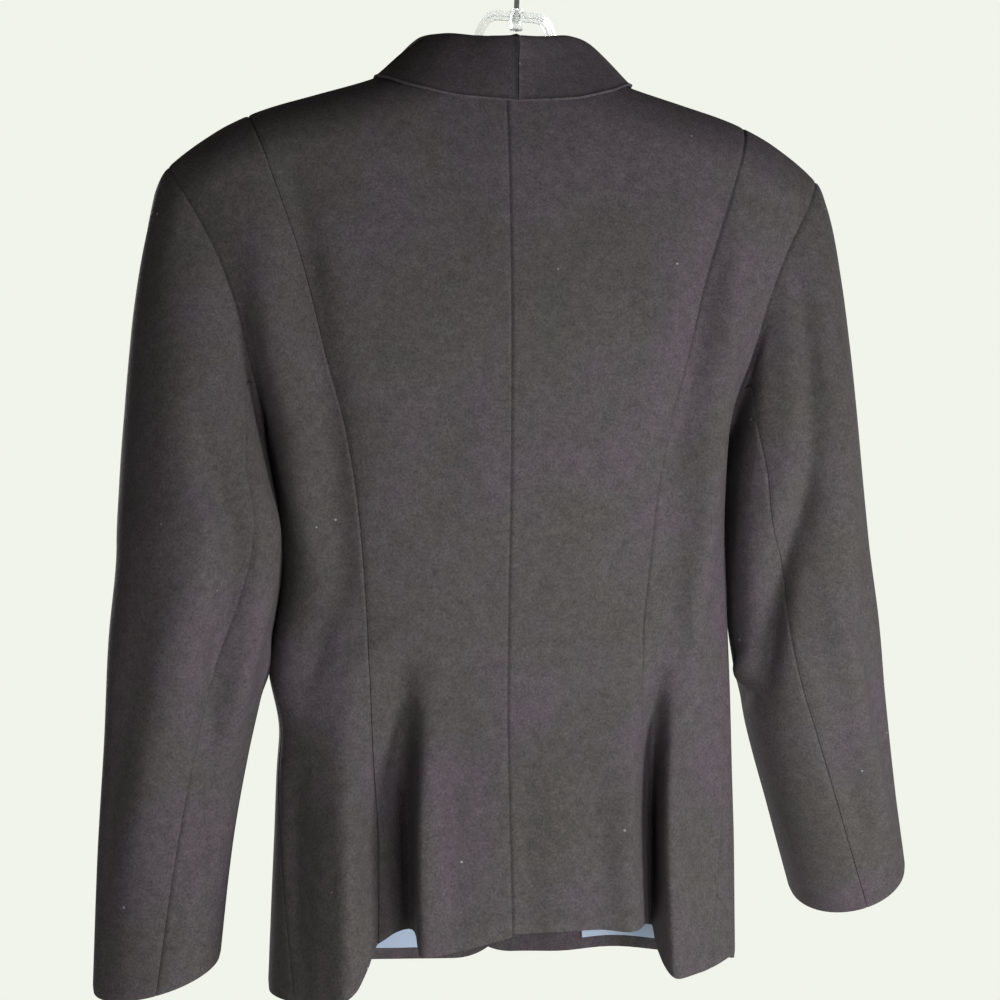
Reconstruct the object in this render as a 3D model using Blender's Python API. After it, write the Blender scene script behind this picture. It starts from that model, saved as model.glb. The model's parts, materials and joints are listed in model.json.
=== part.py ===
"""A fitted blazer hanging on a plain clear hanger, one named solid for each cut piece.

Sizes are millimetres in the garment's own terms: "drop" is measured down from the nape, "x" from the
centre back towards the wearer's left, "y" towards the back. place() turns them into metres in the
part's frame: +Z up, the front facing -Y, the origin where the hook hangs on its rail.
"""

import math
from functools import partial

import bmesh
import bpy
import numpy as np

MM = 0.001

# Cloth
CLOTH = 1.8
COLLAR_CLOTH = 2.2
LINING = 1.0
SEAM_GAP = 0.4
ARMHOLE_GAP = 0.8
SLEEVE_GAP = 0.7
LAYER_GAP = 1.2
COLLAR_GAP = 1.0

# How it hangs: the nape below the hook's crown, and how far it has slid on the tilted hanger
NAPE_BELOW_HOOK = 133.0
SLID_LEFT = 17.0
HANGER_TILT = math.radians(2.7)

# Body lengths, as drops below the nape
UNDERARM = 248.0
MID_CENTRE = 238.0
NECK_X = 78.0
BREAK_POINT = 300.0
RING_POWER = 2.5
RIDGE_Y = 0.0
RIDGE_ROUND = 42.0

# Rows and columns of the panels, as shares of the way down to the underarm and across from the centre back
ARM_SHARE = 0.4
ARM_ROWS = (0, 0.02, 0.06, 0.12, 0.21, 0.32, 0.45, 0.58, 0.7, 0.81, 0.9, 0.96)
LOWER_ROWS = 12
PRINCESS_U = 0.5
NECK_U = 0.2
CENTRE_COLUMNS = (0, 0.06, 0.11, 0.15, 0.18, NECK_U, 0.24, 0.28, 0.32, 0.36, 0.4, 0.44, 0.47, PRINCESS_U)
SIDE_COLUMNS = (PRINCESS_U, 0.54, 0.58, 0.62, 0.67, 0.73, 0.8, 0.87, 0.94, 1)
FRONT_COLUMNS = 13
FACING_COLUMNS = {"left": 2, "right": 3}

# Ring sections of the body: half widths to the left and right, depths behind and before the shoulder line
SECTION_COLUMNS = ("drop", "left", "right", "back", "front")
SECTIONS = (
    (-60, 246, 246, 34, 26),
    (0, 243, 243, 43, 40),
    (60, 238, 238, 58, 62),
    (120, 224, 224, 67, 80),
    (180, 196, 196, 71, 92),
    (248, 161, 161, 69, 92),
    (300, 152, 158, 64, 84),
    (360, 151, 163, 56, 72),
    (430, 151, 167, 50, 64),
    (480, 155, 168, 56, 68),
    (540, 158, 169, 68, 78),
    (640, 162, 169, 84, 90),
)

# Shoulder line, by distance from the centre back
SHOULDER_COLUMNS = ("x", "drop")
SHOULDER = (
    (0, -36),
    (78, -9),
    (94, -3),
    (130, 8),
    (165, 19),
    (190, 30.5),
    (205, 40),
    (220, 51),
    (230, 59.5),
)

# Princess seams of the back, and the armhole edges of the back and the front
PRINCESS_COLUMNS = ("drop", "left", "right")
PRINCESS = (
    (0, 182, 182),
    (20, 176, 176),
    (65, 161, 161),
    (123, 142, 143),
    (190, 125, 126),
    (245, 110, 112),
    (300, 101, 102),
    (345, 97, 97.5),
    (385, 94.5, 94.5),
    (428, 93, 95),
    (494, 93, 99),
    (560, 94, 103),
    (640, 95, 105),
)
ARMHOLE_COLUMNS = ("drop", "back", "front")
ARMHOLE = (
    (59.5, 230, 230),
    (77, 221, 219),
    (96, 210.5, 206),
    (116, 200, 194),
    (140, 190, 182),
    (168, 181, 173),
    (192, 175.5, 167),
    (220, 168, 163),
    (238, 162.5, 161.5),
    (248, 161, 161),
)

# Degrees by which the side seams swing round onto the back below the waist
SIDE_SEAM_COLUMNS = ("drop", "left", "right")
SIDE_SEAM = (
    (330, 0, 0),
    (390, 0, 8),
    (449, 3, 17),
    (521, 12.5, 25),
    (593, 22.5, 31.5),
    (640, 28, 34),
)

# Hem drop, from the centre line (0) to the side seam (1)
HEM_COLUMNS = ("u", "back_left", "back_right", "front_left", "front_right")
HEM = (
    (0.0, 583, 581, 633, 630),
    (0.27, 593, 580, 632, 628),
    (0.38, 584, 582, 632, 627),
    (0.5, 590, 579, 632, 626),
    (0.54, 604, 598, 632, 624),
    (0.6, 617, 608, 631, 622),
    (0.75, 626, 614, 630, 618),
    (0.9, 628, 614, 629, 610),
    (1.0, 629, 613, 629, 613),
)

# Front edge: the roll of the lapel down to the break point, then the lap past the centre front
FRONT_EDGE_COLUMNS = ("drop", "x")
FRONT_EDGE = (
    (-9, 78),
    (40, 62),
    (100, 46),
    (160, 30),
    (223, 12),
    (270, -6),
    (300, -16),
    (335, -20),
    (640, -20),
)
LAP = 20.0
UNDERLAP_INSET = 3.6
UNDERLAP_RAMP = (26.0, 75.0)
TUCK_INSET = 10.5
TUCK_DROPS = (180.0, 236.0, 306.0, 390.0)
CORNER_RADIUS = 42.0
LINING_ABOVE_HEM = 9.0
LINING_TOP_ROW = 3
LINING_SHORT_OF_SIDE = 0.985

# Folds: where each lies, how far to either side it fades, how far out it stands at its full drop, where it
# starts and ends, and how far its crest leans to the left
FOLD_COLUMNS = ("face", "x", "half_width", "out", "start", "full", "end", "lean")
FOLDS = (
    ("back", 72, 11, -34, 375, 530, 900, 0),
    ("back", 89, 13, -24, 385, 545, 900, 0),
    ("back", 114, 14, 15, 400, 560, 900, -8),
    ("back", 52, 11, 10, 395, 530, 900, 8),
    ("back", -104, 11, -41, 375, 545, 900, -14),
    ("back", -121, 11, 21, 390, 540, 900, 20),
    ("back", -80, 15, 5, 400, 550, 900, 0),
    ("back", 140, 20, 6, 150, 280, 380, 0),
    ("back", -142, 20, 7, 140, 300, 420, 0),
    ("back", 162, 18, 15, 330, 405, 458, 0),
    ("front", 140, 18, 15, 330, 405, 458, 0),
    ("front", 92, 26, 7, 430, 610, 900, 0),
    ("front", -95, 26, 9, 430, 610, 900, 0),
    ("front", -60, 22, -6, 430, 610, 900, 0),
)

# Sleeves: stations down the middle line, half sizes of the ring across and fore-aft, how far
# it is turned, and how much lower its outer edge hangs than its middle
SLEEVE_COLUMNS = ("drop", "out", "back", "half_across", "half_deep", "turn", "slant")
SLEEVE_LEFT = (
    (272, 212, 8, 50, 62, 16, 0),
    (320, 209, 15, 54.5, 61, 24, 0),
    (390, 217, 9, 53, 57, 20, 0),
    (460, 225, -3, 49, 51, 12, 2),
    (540, 233, -12, 46, 46, 8, 8),
    (622, 239, -24, 43.5, 43, 4, 14),
)
SLEEVE_RIGHT = (
    (272, 214, 0, 50, 63, 12, 0),
    (320, 216, 2, 52, 60, 16, 0),
    (375, 221, 2, 54, 57, 16, 0),
    (436, 234, -14, 52, 52, 12, 0),
    (510, 257, -46, 48, 46, 8, 0),
    (577, 280, -80, 45, 42.5, 4, 0),
)
# Where the two sleeve seams run, in degrees round from the outer edge, by share of the length below the cap
SLEEVE_SEAM_COLUMNS = ("share", "back_seam", "front_seam")
SLEEVE_SEAMS = ((-0.5, 150, 222), (0.0, 113, 232), (0.4, 97, 238), (1.0, 88, 244))
CAP_SHARE = 0.5
CAP_ROWS = (0.0, 0.06, 0.15, 0.27, 0.42, 0.6, 0.8)
CAP_LEAVE = 0.30
CAP_ARRIVE = 1.0
CAP_FULLNESS = 0.25
SLEEVE_RINGS = 12
ARMHOLE_POWER = 1.15

# Collar, from the centre back (0) over the shoulder (1) to the break point (2): height and lean of the roll,
# how far inside the body's face and past its edge the collar's base lies, and where the fall's edge lies
COLLAR_COLUMNS = ("s", "stand", "lean", "base_in", "base_past", "edge_x", "edge_drop")
COLLAR = (
    (0.0, 31, 0, 2.0, 1.0, 0, 18),
    (0.45, 32, 6, 2.0, 1.0, 40, 15),
    (0.75, 33, 17, 2.0, 1.0, 70, 7),
    (1.0, 33, 26, 2.2, 1.0, 93, -3.2),
    (1.12, 29, 26, 5.0, 1.0, 100, 22),
    (1.35, 18, 20, 5.0, -7, 106, 90),
    (1.55, 8, 8, 5.0, -9, 100, 152),
    (1.75, 5.6, 0, 5.0, -9, 80, 214),
    (1.9, 5.4, 0, 5.0, -9, 46, 262),
    (2.0, 5.4, 0, 5.0, -6, 2, 296),
)
COLLAR_CLEAR = 4.6
# The collar has slipped round the neck: how far its roll and fall lie to the right, and where that fades
COLLAR_SLIP = 7.0
COLLAR_SLIP_FADE = {"left": (1.0, 1.35), "right": (0.2, 1.0)}
ROLL_RADIUS = (3.4, 4.6)
COLLAR_STEPS = 24
COLLAR_ACROSS = (0, 1, 1.6, 2, 2.5, 3, 3.5, 4, 4.5, 5, 5.5, 6, 7)
COLLAR_END = {"left": 1.93, "right": 1.97}

# Buttons
BUTTON_RADIUS = 10.0
BUTTON_RIM = 3.6
BUTTON_DISH = 2.6
# How far down each one is, and how far it stands off the curve of the front
BUTTON_PLACES = ((318.0, 0.3), (384.0, 0.6), (450.0, 1.4))
BUTTON_SIDES = 20

# Hanger and hook, in the hanger's own upright frame
HOOK_INNER_RADIUS = 21.0
WIRE_RADIUS = 2.0
HOOK_TIP_ANGLE = math.radians(-25)
WIRE_SIDES = 8
CROWN = ((0, -78), (14, -78), (20.5, -80), (25, -85), (29, -94), (38, -114), (50, -127), (64, -131))
BOSS_RADIUS = 5.0
BOSS_ABOVE = 2.0
BOSS_BELOW = 12.0
SHANK_GAP = 0.25
SHANK_DEEP = 8.0
ARM_MEETS = 104.0
ARM_REACH = 192.0
ARM_CLEAR = 2.0
ARM_STEP = 14.0
FLANGE_HALF = 4.5
FLANGE_THICK = 2.6
WEB_HALF = 1.5
WEB_DEEP = (6.0, 12.0)

LEFT, RIGHT = 1, -1
BACK, FRONT = 1, -1
SIDE_NAMES = {LEFT: "left", RIGHT: "right"}
TINY = 1e-4


def column(rows, columns, name):
    """One named column of a table."""
    return np.array([row[columns.index(name)] for row in rows], float)


def smooth(at, places, values):
    """A smooth curve through the values that never overshoots them, read at any places."""
    steps = np.diff(places)
    slopes = np.diff(values) / steps
    first, second = 2 * steps[1:] + steps[:-1], steps[1:] + 2 * steps[:-1]
    safe = np.where(slopes == 0, 1.0, slopes)
    mean = (first + second) / (first / safe[:-1] + second / safe[1:] + 1e-300)
    tangents = np.concatenate([slopes[:1], np.where(slopes[:-1] * slopes[1:] > 0, mean, 0.0), slopes[-1:]])
    at = np.clip(np.asarray(at, float), places[0], places[-1])
    i = np.clip(np.searchsorted(places, at, side="right") - 1, 0, len(steps) - 1)
    q = (at - places[i]) / steps[i]
    return (
        values[i] * (1 + 2 * q) * (1 - q) ** 2
        + tangents[i] * steps[i] * q * (1 - q) ** 2
        + values[i + 1] * q * q * (3 - 2 * q)
        + tangents[i + 1] * steps[i] * q * q * (q - 1)
    )


def read(rows, columns, key, name, at):
    return smooth(at, column(rows, columns, key), column(rows, columns, name))


def ramp(value, start, end):
    q = np.clip((value - start) / (end - start), 0, 1)
    return q * q * (3 - 2 * q)


def unit(vectors):
    return vectors / np.maximum(np.linalg.norm(vectors, axis=-1, keepdims=True), 1e-12)


def square_to(vectors, way):
    """The part of the vectors that is square to a unit direction, made unit length."""
    return unit(vectors - way * (vectors * way).sum(-1, keepdims=True))


def half_width(side, drop):
    return read(SECTIONS, SECTION_COLUMNS, "drop", SIDE_NAMES[side], drop)


def depth(face, drop):
    return read(SECTIONS, SECTION_COLUMNS, "drop", "back" if face == BACK else "front", drop)


def ridge(x):
    """Drop of the shoulder line at a distance from the centre back."""
    return read(SHOULDER, SHOULDER_COLUMNS, "x", "drop", np.abs(x))


def fold_shift(face, x, drop):
    """How far the folds move the cloth out, and to the left."""
    out, left = np.zeros_like(x), np.zeros_like(x)
    for row in FOLDS:
        fold = dict(zip(FOLD_COLUMNS, row))
        if (fold["face"] == "back") != (face == BACK):
            continue
        grown = ramp(drop, fold["start"], fold["full"]) * (1 - ramp(drop, fold["full"], fold["end"]))
        bump = np.exp(-(((x - fold["x"]) / fold["half_width"]) ** 2)) * grown
        out = out + fold["out"] * bump
        left = left + fold["lean"] * bump
    return out, left


def underlap(x, drop):
    """How far the left front is tucked in behind the right one: most where the lapels cross."""
    start, full, hold, end = TUCK_DROPS
    tuck = TUCK_INSET * ramp(drop, start, full) * (1 - ramp(drop, hold, end))
    lapped = UNDERLAP_INSET * ramp(drop, start, full)
    return (tuck + lapped) * (1 - ramp(x, *UNDERLAP_RAMP))


def on_body(side, face, sine, drop):
    """Points of the body: sine is the share of the ring's half width, negative past the centre line."""
    wide = half_width(side, drop)
    x = side * sine * wide
    share = np.minimum(np.abs(sine), 1.0)
    ring = depth(face, drop) * (1 - share**RING_POWER) ** (1 / RING_POWER)
    below = np.clip((drop - ridge(x)) / RIDGE_ROUND, 0, 1)
    rounded = np.sqrt(1 - (1 - below) ** 2)
    y = RIDGE_Y + (face * ring - RIDGE_Y) * rounded
    out, left = fold_shift(face, x, drop)
    if (side, face) == (LEFT, FRONT):
        out = out - underlap(x, drop)
    across = unit(np.stack([x / wide**2, y / depth(face, drop) ** 2], axis=-1))
    return np.stack([x + left + out * across[..., 0], y + out * across[..., 1], drop], axis=-1)


def row_drop(top, mid, hem, t):
    """Drop of a point a share t of the way from its column's top to its hem."""
    upper = top + (mid - top) * t / ARM_SHARE
    lower = mid + (hem - mid) * (t - ARM_SHARE) / (1 - ARM_SHARE)
    return np.where(t < ARM_SHARE, upper, lower)


def outer_sine(side, face, t):
    """A panel's outer edge as a share of the half width, by row: the armhole, then the side seam."""
    tip = ARMHOLE[0][0]
    drop = tip + (UNDERARM - tip) * np.minimum(t / ARM_SHARE, 1.0)
    hole = read(ARMHOLE, ARMHOLE_COLUMNS, "drop", "back" if face == BACK else "front", drop)
    return np.minimum(hole / half_width(side, drop), 1.0)


def seam_swing(side, drop):
    """How far the side seam lies round on the back, in radians."""
    return np.radians(read(SIDE_SEAM, SIDE_SEAM_COLUMNS, "drop", SIDE_NAMES[side], drop))


def hem_drop(side, face, u):
    name = ("back_" if face == BACK else "front_") + SIDE_NAMES[side]
    return read(HEM, HEM_COLUMNS, "u", name, u)


def back_point(side, u, t):
    """A half of the back: u runs from the centre back over the princess seam to the armhole or side seam."""
    u, t = np.broadcast_arrays(np.asarray(u, float), np.asarray(t, float))

    def sine_at(drop, t):
        seam = read(PRINCESS, PRINCESS_COLUMNS, "drop", SIDE_NAMES[side], drop) / half_width(side, drop)
        seam_angle = np.arcsin(np.minimum(seam, 1.0))
        edge_angle = np.arcsin(outer_sine(side, BACK, t)) - seam_swing(side, drop)
        past = (u - PRINCESS_U) / (1 - PRINCESS_U)
        outer = seam_angle + (edge_angle - seam_angle) * past
        return np.sin(np.where(u < PRINCESS_U, seam_angle * u / PRINCESS_U, outer))

    top = np.zeros_like(u)
    for _ in range(8):
        x = sine_at(top, np.zeros_like(t)) * half_width(side, top)
        top = np.where(u < NECK_U, ridge(x) * np.clip(u / NECK_U, 0, 1) ** 2, ridge(x))
    mid = MID_CENTRE + (UNDERARM - MID_CENTRE) * u
    drop = row_drop(top, mid, hem_drop(side, BACK, u), t)
    return on_body(side, BACK, sine_at(drop, t), drop)


def front_point(side, u, t):
    """A front: u runs from the roll of the lapel or the front edge to the armhole or side seam."""
    u, t = np.broadcast_arrays(np.asarray(u, float), np.asarray(t, float))

    def angle_at(drop, t):
        inner = np.arcsin(read(FRONT_EDGE, FRONT_EDGE_COLUMNS, "drop", "x", drop) / half_width(side, drop))
        edge_angle = np.arcsin(outer_sine(side, FRONT, t)) + seam_swing(side, drop)
        return inner + (edge_angle - inner) * u

    top = np.zeros_like(u)
    for _ in range(8):
        top = ridge(np.sin(angle_at(top, np.zeros_like(t))) * half_width(side, top))
    hem = hem_drop(side, FRONT, u)
    from_edge = np.sin(angle_at(hem, np.ones_like(t))) * half_width(side, hem) + LAP
    into_corner = np.clip(CORNER_RADIUS - from_edge, 0, CORNER_RADIUS)
    hem = hem - CORNER_RADIUS + np.sqrt(CORNER_RADIUS**2 - into_corner**2)
    mid = MID_CENTRE + (UNDERARM - MID_CENTRE) * u
    drop = row_drop(top, mid, hem, t)
    angle = angle_at(drop, t)
    ahead, behind = (on_body(side, face, np.sin(angle), drop) for face in (FRONT, BACK))
    return np.where((angle > np.pi / 2)[..., None], behind, ahead)


def normals_of(surface, first, second, sign, first_range=(0.0, 1.0), second_range=(0.0, 1.0)):
    """Outward unit normals of a surface function, from steps too small to see."""
    low, high = np.maximum(first - TINY, first_range[0]), np.minimum(first + TINY, first_range[1])
    along = surface(high, second) - surface(low, second)
    low, high = np.maximum(second - TINY, second_range[0]), np.minimum(second + TINY, second_range[1])
    down = surface(first, high) - surface(first, low)
    return unit(np.cross(along, down)) * sign


def place(points):
    """Garment millimetres to metres in the part's frame."""
    x, y, drop = points[..., 0], points[..., 1], points[..., 2]
    return np.stack([x + SLID_LEFT, y, -NAPE_BELOW_HOOK - drop], axis=-1) * MM


EDGES = {
    "first_column": ((slice(None), 0), (slice(None), 1)),
    "last_column": ((slice(None), -1), (slice(None), -2)),
    "first_row": (0, 1),
    "last_row": (-1, -2),
}


def draw_in(points, **edges):
    """The grid with its named edges drawn in along the cloth, so that neighbours keep a seam's gap."""
    points = points.copy()
    for edge, gap in edges.items():
        rim, next_in = EDGES[edge]
        points[rim] = points[rim] + gap / 2 * unit(points[next_in] - points[rim])
    return points


def wall(name, points, normals, thick, material, offset=0.0):
    """A closed wall of cloth: the outer grid, the same grid moved in by its thickness, and the rim."""
    layers = (place(points - normals * offset), place(points - normals * (offset + thick)))
    rows, columns = points.shape[:2]
    mesh = bmesh.new()
    grids = [[[mesh.verts.new(spot) for spot in row] for row in layer] for layer in layers]
    for grid in grids:
        for i in range(rows - 1):
            for j in range(columns - 1):
                mesh.faces.new((grid[i][j], grid[i][j + 1], grid[i + 1][j + 1], grid[i + 1][j]))
    rim = [(0, j) for j in range(columns)]
    rim += [(i, columns - 1) for i in range(1, rows)]
    rim += [(rows - 1, j) for j in range(columns - 2, -1, -1)]
    rim += [(i, 0) for i in range(rows - 2, 0, -1)]
    for (i, j), (k, m) in zip(rim, rim[1:] + rim[:1]):
        mesh.faces.new((grids[0][i][j], grids[0][k][m], grids[1][k][m], grids[1][i][j]))
    return finish(name, mesh, material)


def finish(name, mesh, material, crease=math.radians(50)):
    """A named object of the part from a closed mesh."""
    bmesh.ops.recalc_face_normals(mesh, faces=mesh.faces)
    data = bpy.data.meshes.new(name)
    mesh.to_mesh(data)
    mesh.free()
    data.shade_smooth()
    data.set_sharp_from_angle(angle=crease)
    data.materials.append(material)
    made = bpy.data.objects.new(name, data)
    parts.objects.link(made)
    return made


def body_rows():
    """Shares of the way down a panel: close together over the shoulder, even below the armhole."""
    return np.concatenate([ARM_SHARE * np.array(ARM_ROWS), np.linspace(ARM_SHARE, 1.0, LOWER_ROWS + 1)])


def back_panel(name, side, columns, material):
    u, t = np.meshgrid(columns, body_rows())
    surface = partial(back_point, side)
    points = draw_in(surface(u, t), first_column=SEAM_GAP, last_column=SEAM_GAP, first_row=SEAM_GAP)
    return wall(name, points, normals_of(surface, u, t, -side), CLOTH, material)


def front_panel(side, material):
    u, t = np.meshgrid(np.linspace(0, 1, FRONT_COLUMNS), body_rows())
    surface = partial(front_point, side)
    points = draw_in(surface(u, t), last_column=SEAM_GAP, first_row=SEAM_GAP)
    return wall(f"front_{SIDE_NAMES[side]}", points, normals_of(surface, u, t, side), CLOTH, material)


def front_lining(side, material):
    """The lining inside a front: from the facing's edge to the side seam, ending above the hem."""
    rows = body_rows()[LINING_TOP_ROW:]
    below_arm = hem_drop(side, FRONT, 0.5) - UNDERARM
    rows[-1] = 1 - (1 - ARM_SHARE) * LINING_ABOVE_HEM / below_arm
    columns = np.linspace(0, 1, FRONT_COLUMNS)[FACING_COLUMNS[SIDE_NAMES[side]] :]
    columns[-1] = LINING_SHORT_OF_SIDE
    u, t = np.meshgrid(columns, rows)
    surface = partial(front_point, side)
    normals = normals_of(surface, u, t, side)
    name = f"lining_{SIDE_NAMES[side]}"
    return wall(name, surface(u, t), normals, LINING, material, offset=CLOTH + LAYER_GAP)


def middle_line(side, share):
    """Points down the middle of a sleeve from the biceps (0) to the cuff (1), and its ring's sizes there."""
    rows = SLEEVE_LEFT if side == LEFT else SLEEVE_RIGHT
    spots = np.stack([column(rows, SLEEVE_COLUMNS, n) for n in ("out", "back", "drop")], axis=-1)
    along = np.concatenate([[0], np.cumsum(np.linalg.norm(np.diff(spots, axis=0), axis=1))])
    size = {n: smooth(share, along / along[-1], column(rows, SLEEVE_COLUMNS, n)) for n in SLEEVE_COLUMNS}
    return np.stack([size["out"] * side, size["back"], size["drop"]], axis=-1), size


def ring_point(side, angle, share):
    """A point of the sleeve below its cap: angle 0 is the outer edge, 90 the back, 180 the inner side."""
    centre, size = middle_line(side, share)
    after, before = np.minimum(share + 0.04, 1.0), np.maximum(share - 0.04, 0.0)
    along = unit(middle_line(side, after)[0] - middle_line(side, before)[0])
    bent = ramp(share, 0.0, 0.25)[..., None]
    down = unit(along * bent + np.array([0.0, 0.0, 1.0]) * (1 - bent))
    turn = np.radians(size["turn"])
    back = square_to(np.stack([-side * np.sin(turn), np.cos(turn), np.zeros_like(turn)], axis=-1), down)
    out = np.cross(back, down) * side
    outer, behind = np.cos(np.radians(angle)), np.sin(np.radians(angle))
    across, deep, lower = size["half_across"] * outer, size["half_deep"] * behind, size["slant"] * outer
    return centre + out * across[..., None] + back * deep[..., None] + down * lower[..., None]


def from_tip(angle):
    """Share of the way from the shoulder tip to the underarm, and whether it lies on the back."""
    return np.abs((angle + 180) % 360 - 180) / 180, angle % 360 <= 180


def armhole_point(side, angle):
    """The armhole's edge: the shoulder tip at 0, down the back to the underarm at 180, and up the front."""
    share, on_back = from_tip(angle)
    t = ARM_SHARE * share**ARMHOLE_POWER
    edge = np.ones_like(t)
    return np.where(on_back[..., None], back_point(side, edge, t), front_point(side, edge, t))


def cap_way(side, angle):
    """The way the sleeve leaves the armhole: on down the shoulder at the top, out at the underarm."""
    share, on_back = from_tip(angle)
    low = ramp(share, 0.0, 0.75)
    full = np.where(on_back, 1.0, -1.0) * CAP_FULLNESS * np.sin(np.pi * share)
    return unit(np.stack([side * (0.8 + 0.2 * low), full, 0.6 - 0.55 * low], axis=-1))


def sleeve_point(side, angle, v):
    """A sleeve: v runs from the armhole (-CAP_SHARE) to the biceps (0) and on to the cuff (1)."""
    angle, v = np.broadcast_arrays(np.asarray(angle, float), np.asarray(v, float))
    start, end = armhole_point(side, angle), ring_point(side, angle, np.zeros_like(v))
    onward = unit(ring_point(side, angle, np.full_like(v, 0.01)) - end)
    reach = np.linalg.norm(end - start, axis=-1, keepdims=True)
    leave, arrive = cap_way(side, angle) * reach * CAP_LEAVE, onward * reach * CAP_ARRIVE
    q = np.clip(v / CAP_SHARE + 1, 0, 1)[..., None]
    cap = (
        start * (1 + 2 * q) * (1 - q) ** 2
        + leave * q * (1 - q) ** 2
        + end * q * q * (3 - 2 * q)
        + arrive * q * q * (q - 1)
    )
    return np.where((v < 0)[..., None], cap, ring_point(side, angle, np.maximum(v, 0)))


def sleeve_rows():
    return np.concatenate([CAP_SHARE * (np.array(CAP_ROWS) - 1), np.linspace(0, 1, SLEEVE_RINGS)])


def sleeve_columns(first, last):
    """Shares of the way between two seams, at the cap, that meet the rows of the body round the armhole."""
    down = 180 * np.array(ARM_ROWS + (1,)) ** (1 / ARMHOLE_POWER)
    round_hole = np.unique(np.concatenate([down, -down, 360 - down]))
    inside = round_hole[(round_hole > first + 3) & (round_hole < last - 3)]
    return (np.concatenate([[first], inside, [last]]) - first) / (last - first)


def sleeve_panel(side, top, material):
    """The upper sleeve over the outside of the arm, or the under sleeve between the two seams."""
    v = sleeve_rows()
    back = read(SLEEVE_SEAMS, SLEEVE_SEAM_COLUMNS, "share", "back_seam", v)
    front = read(SLEEVE_SEAMS, SLEEVE_SEAM_COLUMNS, "share", "front_seam", v)
    first, last = (front - 360, back) if top else (back, front)
    share = sleeve_columns(first[0], last[0])
    angle = first[:, None] + (last - first)[:, None] * share[None, :]
    rows = np.repeat(v[:, None], len(share), axis=1)
    surface = partial(sleeve_point, side)
    gaps = {"first_column": SLEEVE_GAP, "last_column": SLEEVE_GAP, "first_row": ARMHOLE_GAP}
    points = draw_in(surface(angle, rows), **gaps)
    normals = normals_of(surface, angle, rows, side, (-400.0, 400.0), (-CAP_SHARE, 1.0))
    name = f"sleeve_{'top' if top else 'under'}_{SIDE_NAMES[side]}"
    return wall(name, points, normals, CLOTH, material)


def edge_share(side, drop):
    """Row of a front's inner edge at a drop."""
    top, hem = ridge(NECK_X), hem_drop(side, FRONT, 0.0) - CORNER_RADIUS
    upper = ARM_SHARE * (drop - top) / (MID_CENTRE - top)
    lower = ARM_SHARE + (1 - ARM_SHARE) * (drop - MID_CENTRE) / (hem - MID_CENTRE)
    return np.where(drop < MID_CENTRE, upper, lower)


def neck_edge(side, s):
    """The edge that the collar stands on, round the neck and down the roll, with the body's normals."""
    u, t = NECK_U * np.clip(s, 0, 1), np.zeros_like(s)
    back = partial(back_point, side)
    drop = ridge(NECK_X) + (BREAK_POINT - ridge(NECK_X)) * np.clip(s - 1, 0, 1)
    row, front = edge_share(side, drop), partial(front_point, side)
    behind = (s < 1)[:, None]
    points = np.where(behind, back(u, t), front(t, row))
    return points, np.where(behind, normals_of(back, u, t, -side), normals_of(front, t, row, side))


def lies_on(side, face, x, drop, clear):
    """A point that lies clear of the body's outside, at a distance from the centre line and a drop."""
    surface = partial(on_body, side, face)
    sine = np.clip(x / half_width(side, drop), -0.99, 0.99)
    normals = normals_of(surface, sine, drop, -side * face, (-1.0, 1.0), (-60.0, 640.0))
    return surface(sine, drop) + normals * clear


def collar_grid(side):
    """Points of a half of the collar: up the stand, over the roll and down the fall, along the neck."""
    s = np.linspace(0, COLLAR_END[SIDE_NAMES[side]], COLLAR_STEPS)
    at = {n: read(COLLAR, COLLAR_COLUMNS, "s", n, s) for n in COLLAR_COLUMNS}
    slip = COLLAR_SLIP * (1 - ramp(s, *COLLAR_SLIP_FADE[SIDE_NAMES[side]]))
    at["edge_x"] = at["edge_x"] - side * slip
    edge, outward = neck_edge(side, s)
    ahead = neck_edge(side, s + 0.02)[0] - neck_edge(side, np.maximum(s - 0.02, 0))[0]
    ahead[0] = (side, 0, 0)
    across = square_to(-side * np.cross(unit(ahead), outward), outward)
    lean = np.radians(at["lean"])[:, None]
    roll = edge + at["stand"][:, None] * (across * np.cos(lean) + outward * np.sin(lean))
    roll[:, 0] -= slip
    base = edge - outward * at["base_in"][:, None] + across * at["base_past"][:, None]
    laid = ramp(s, 1.05, 1.3)[:, None]
    edge_at = at["edge_x"], at["edge_drop"], COLLAR_CLEAR
    on_back, on_front = (lies_on(side, face, *edge_at) for face in (BACK, FRONT))
    fall = np.where((s <= 1)[:, None], on_back, on_front)
    fold = unit(roll - (base + fall) / 2)
    open_way = square_to(fall - base, fold)
    radius = ROLL_RADIUS[0] + (ROLL_RADIUS[1] - ROLL_RADIUS[0]) * laid
    inner, outer = (roll - fold * radius + open_way * radius * way for way in (-1, 1))
    middle = []
    for share in (0.4, 0.75):
        straight = outer + (fall - outer) * share
        x = side * edge[:, 0] + (at["edge_x"] - side * edge[:, 0]) * share
        drop = edge[:, 2] + (at["edge_drop"] - edge[:, 2]) * share
        middle.append(straight * (1 - laid) + lies_on(side, FRONT, x, drop, COLLAR_CLEAR) * laid)
    knots = np.stack([base, (base + inner) / 2, inner, roll, outer, *middle, fall], axis=1)
    return through(knots, np.array(COLLAR_ACROSS, float))


def through(knots, at):
    """Smooth curves through rows of knots, read at places counted in knots."""
    last = knots.shape[1] - 1
    i = np.clip(at.astype(int), 0, last - 1)
    q = (at - i)[None, :, None]
    a, b, c, d = (knots[:, np.clip(i + step, 0, last)] for step in (-1, 0, 1, 2))
    return 0.5 * (2 * b + (c - a) * q + (2 * a - 5 * b + 4 * c - d) * q**2 + (3 * b - a - 3 * c + d) * q**3)


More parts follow.
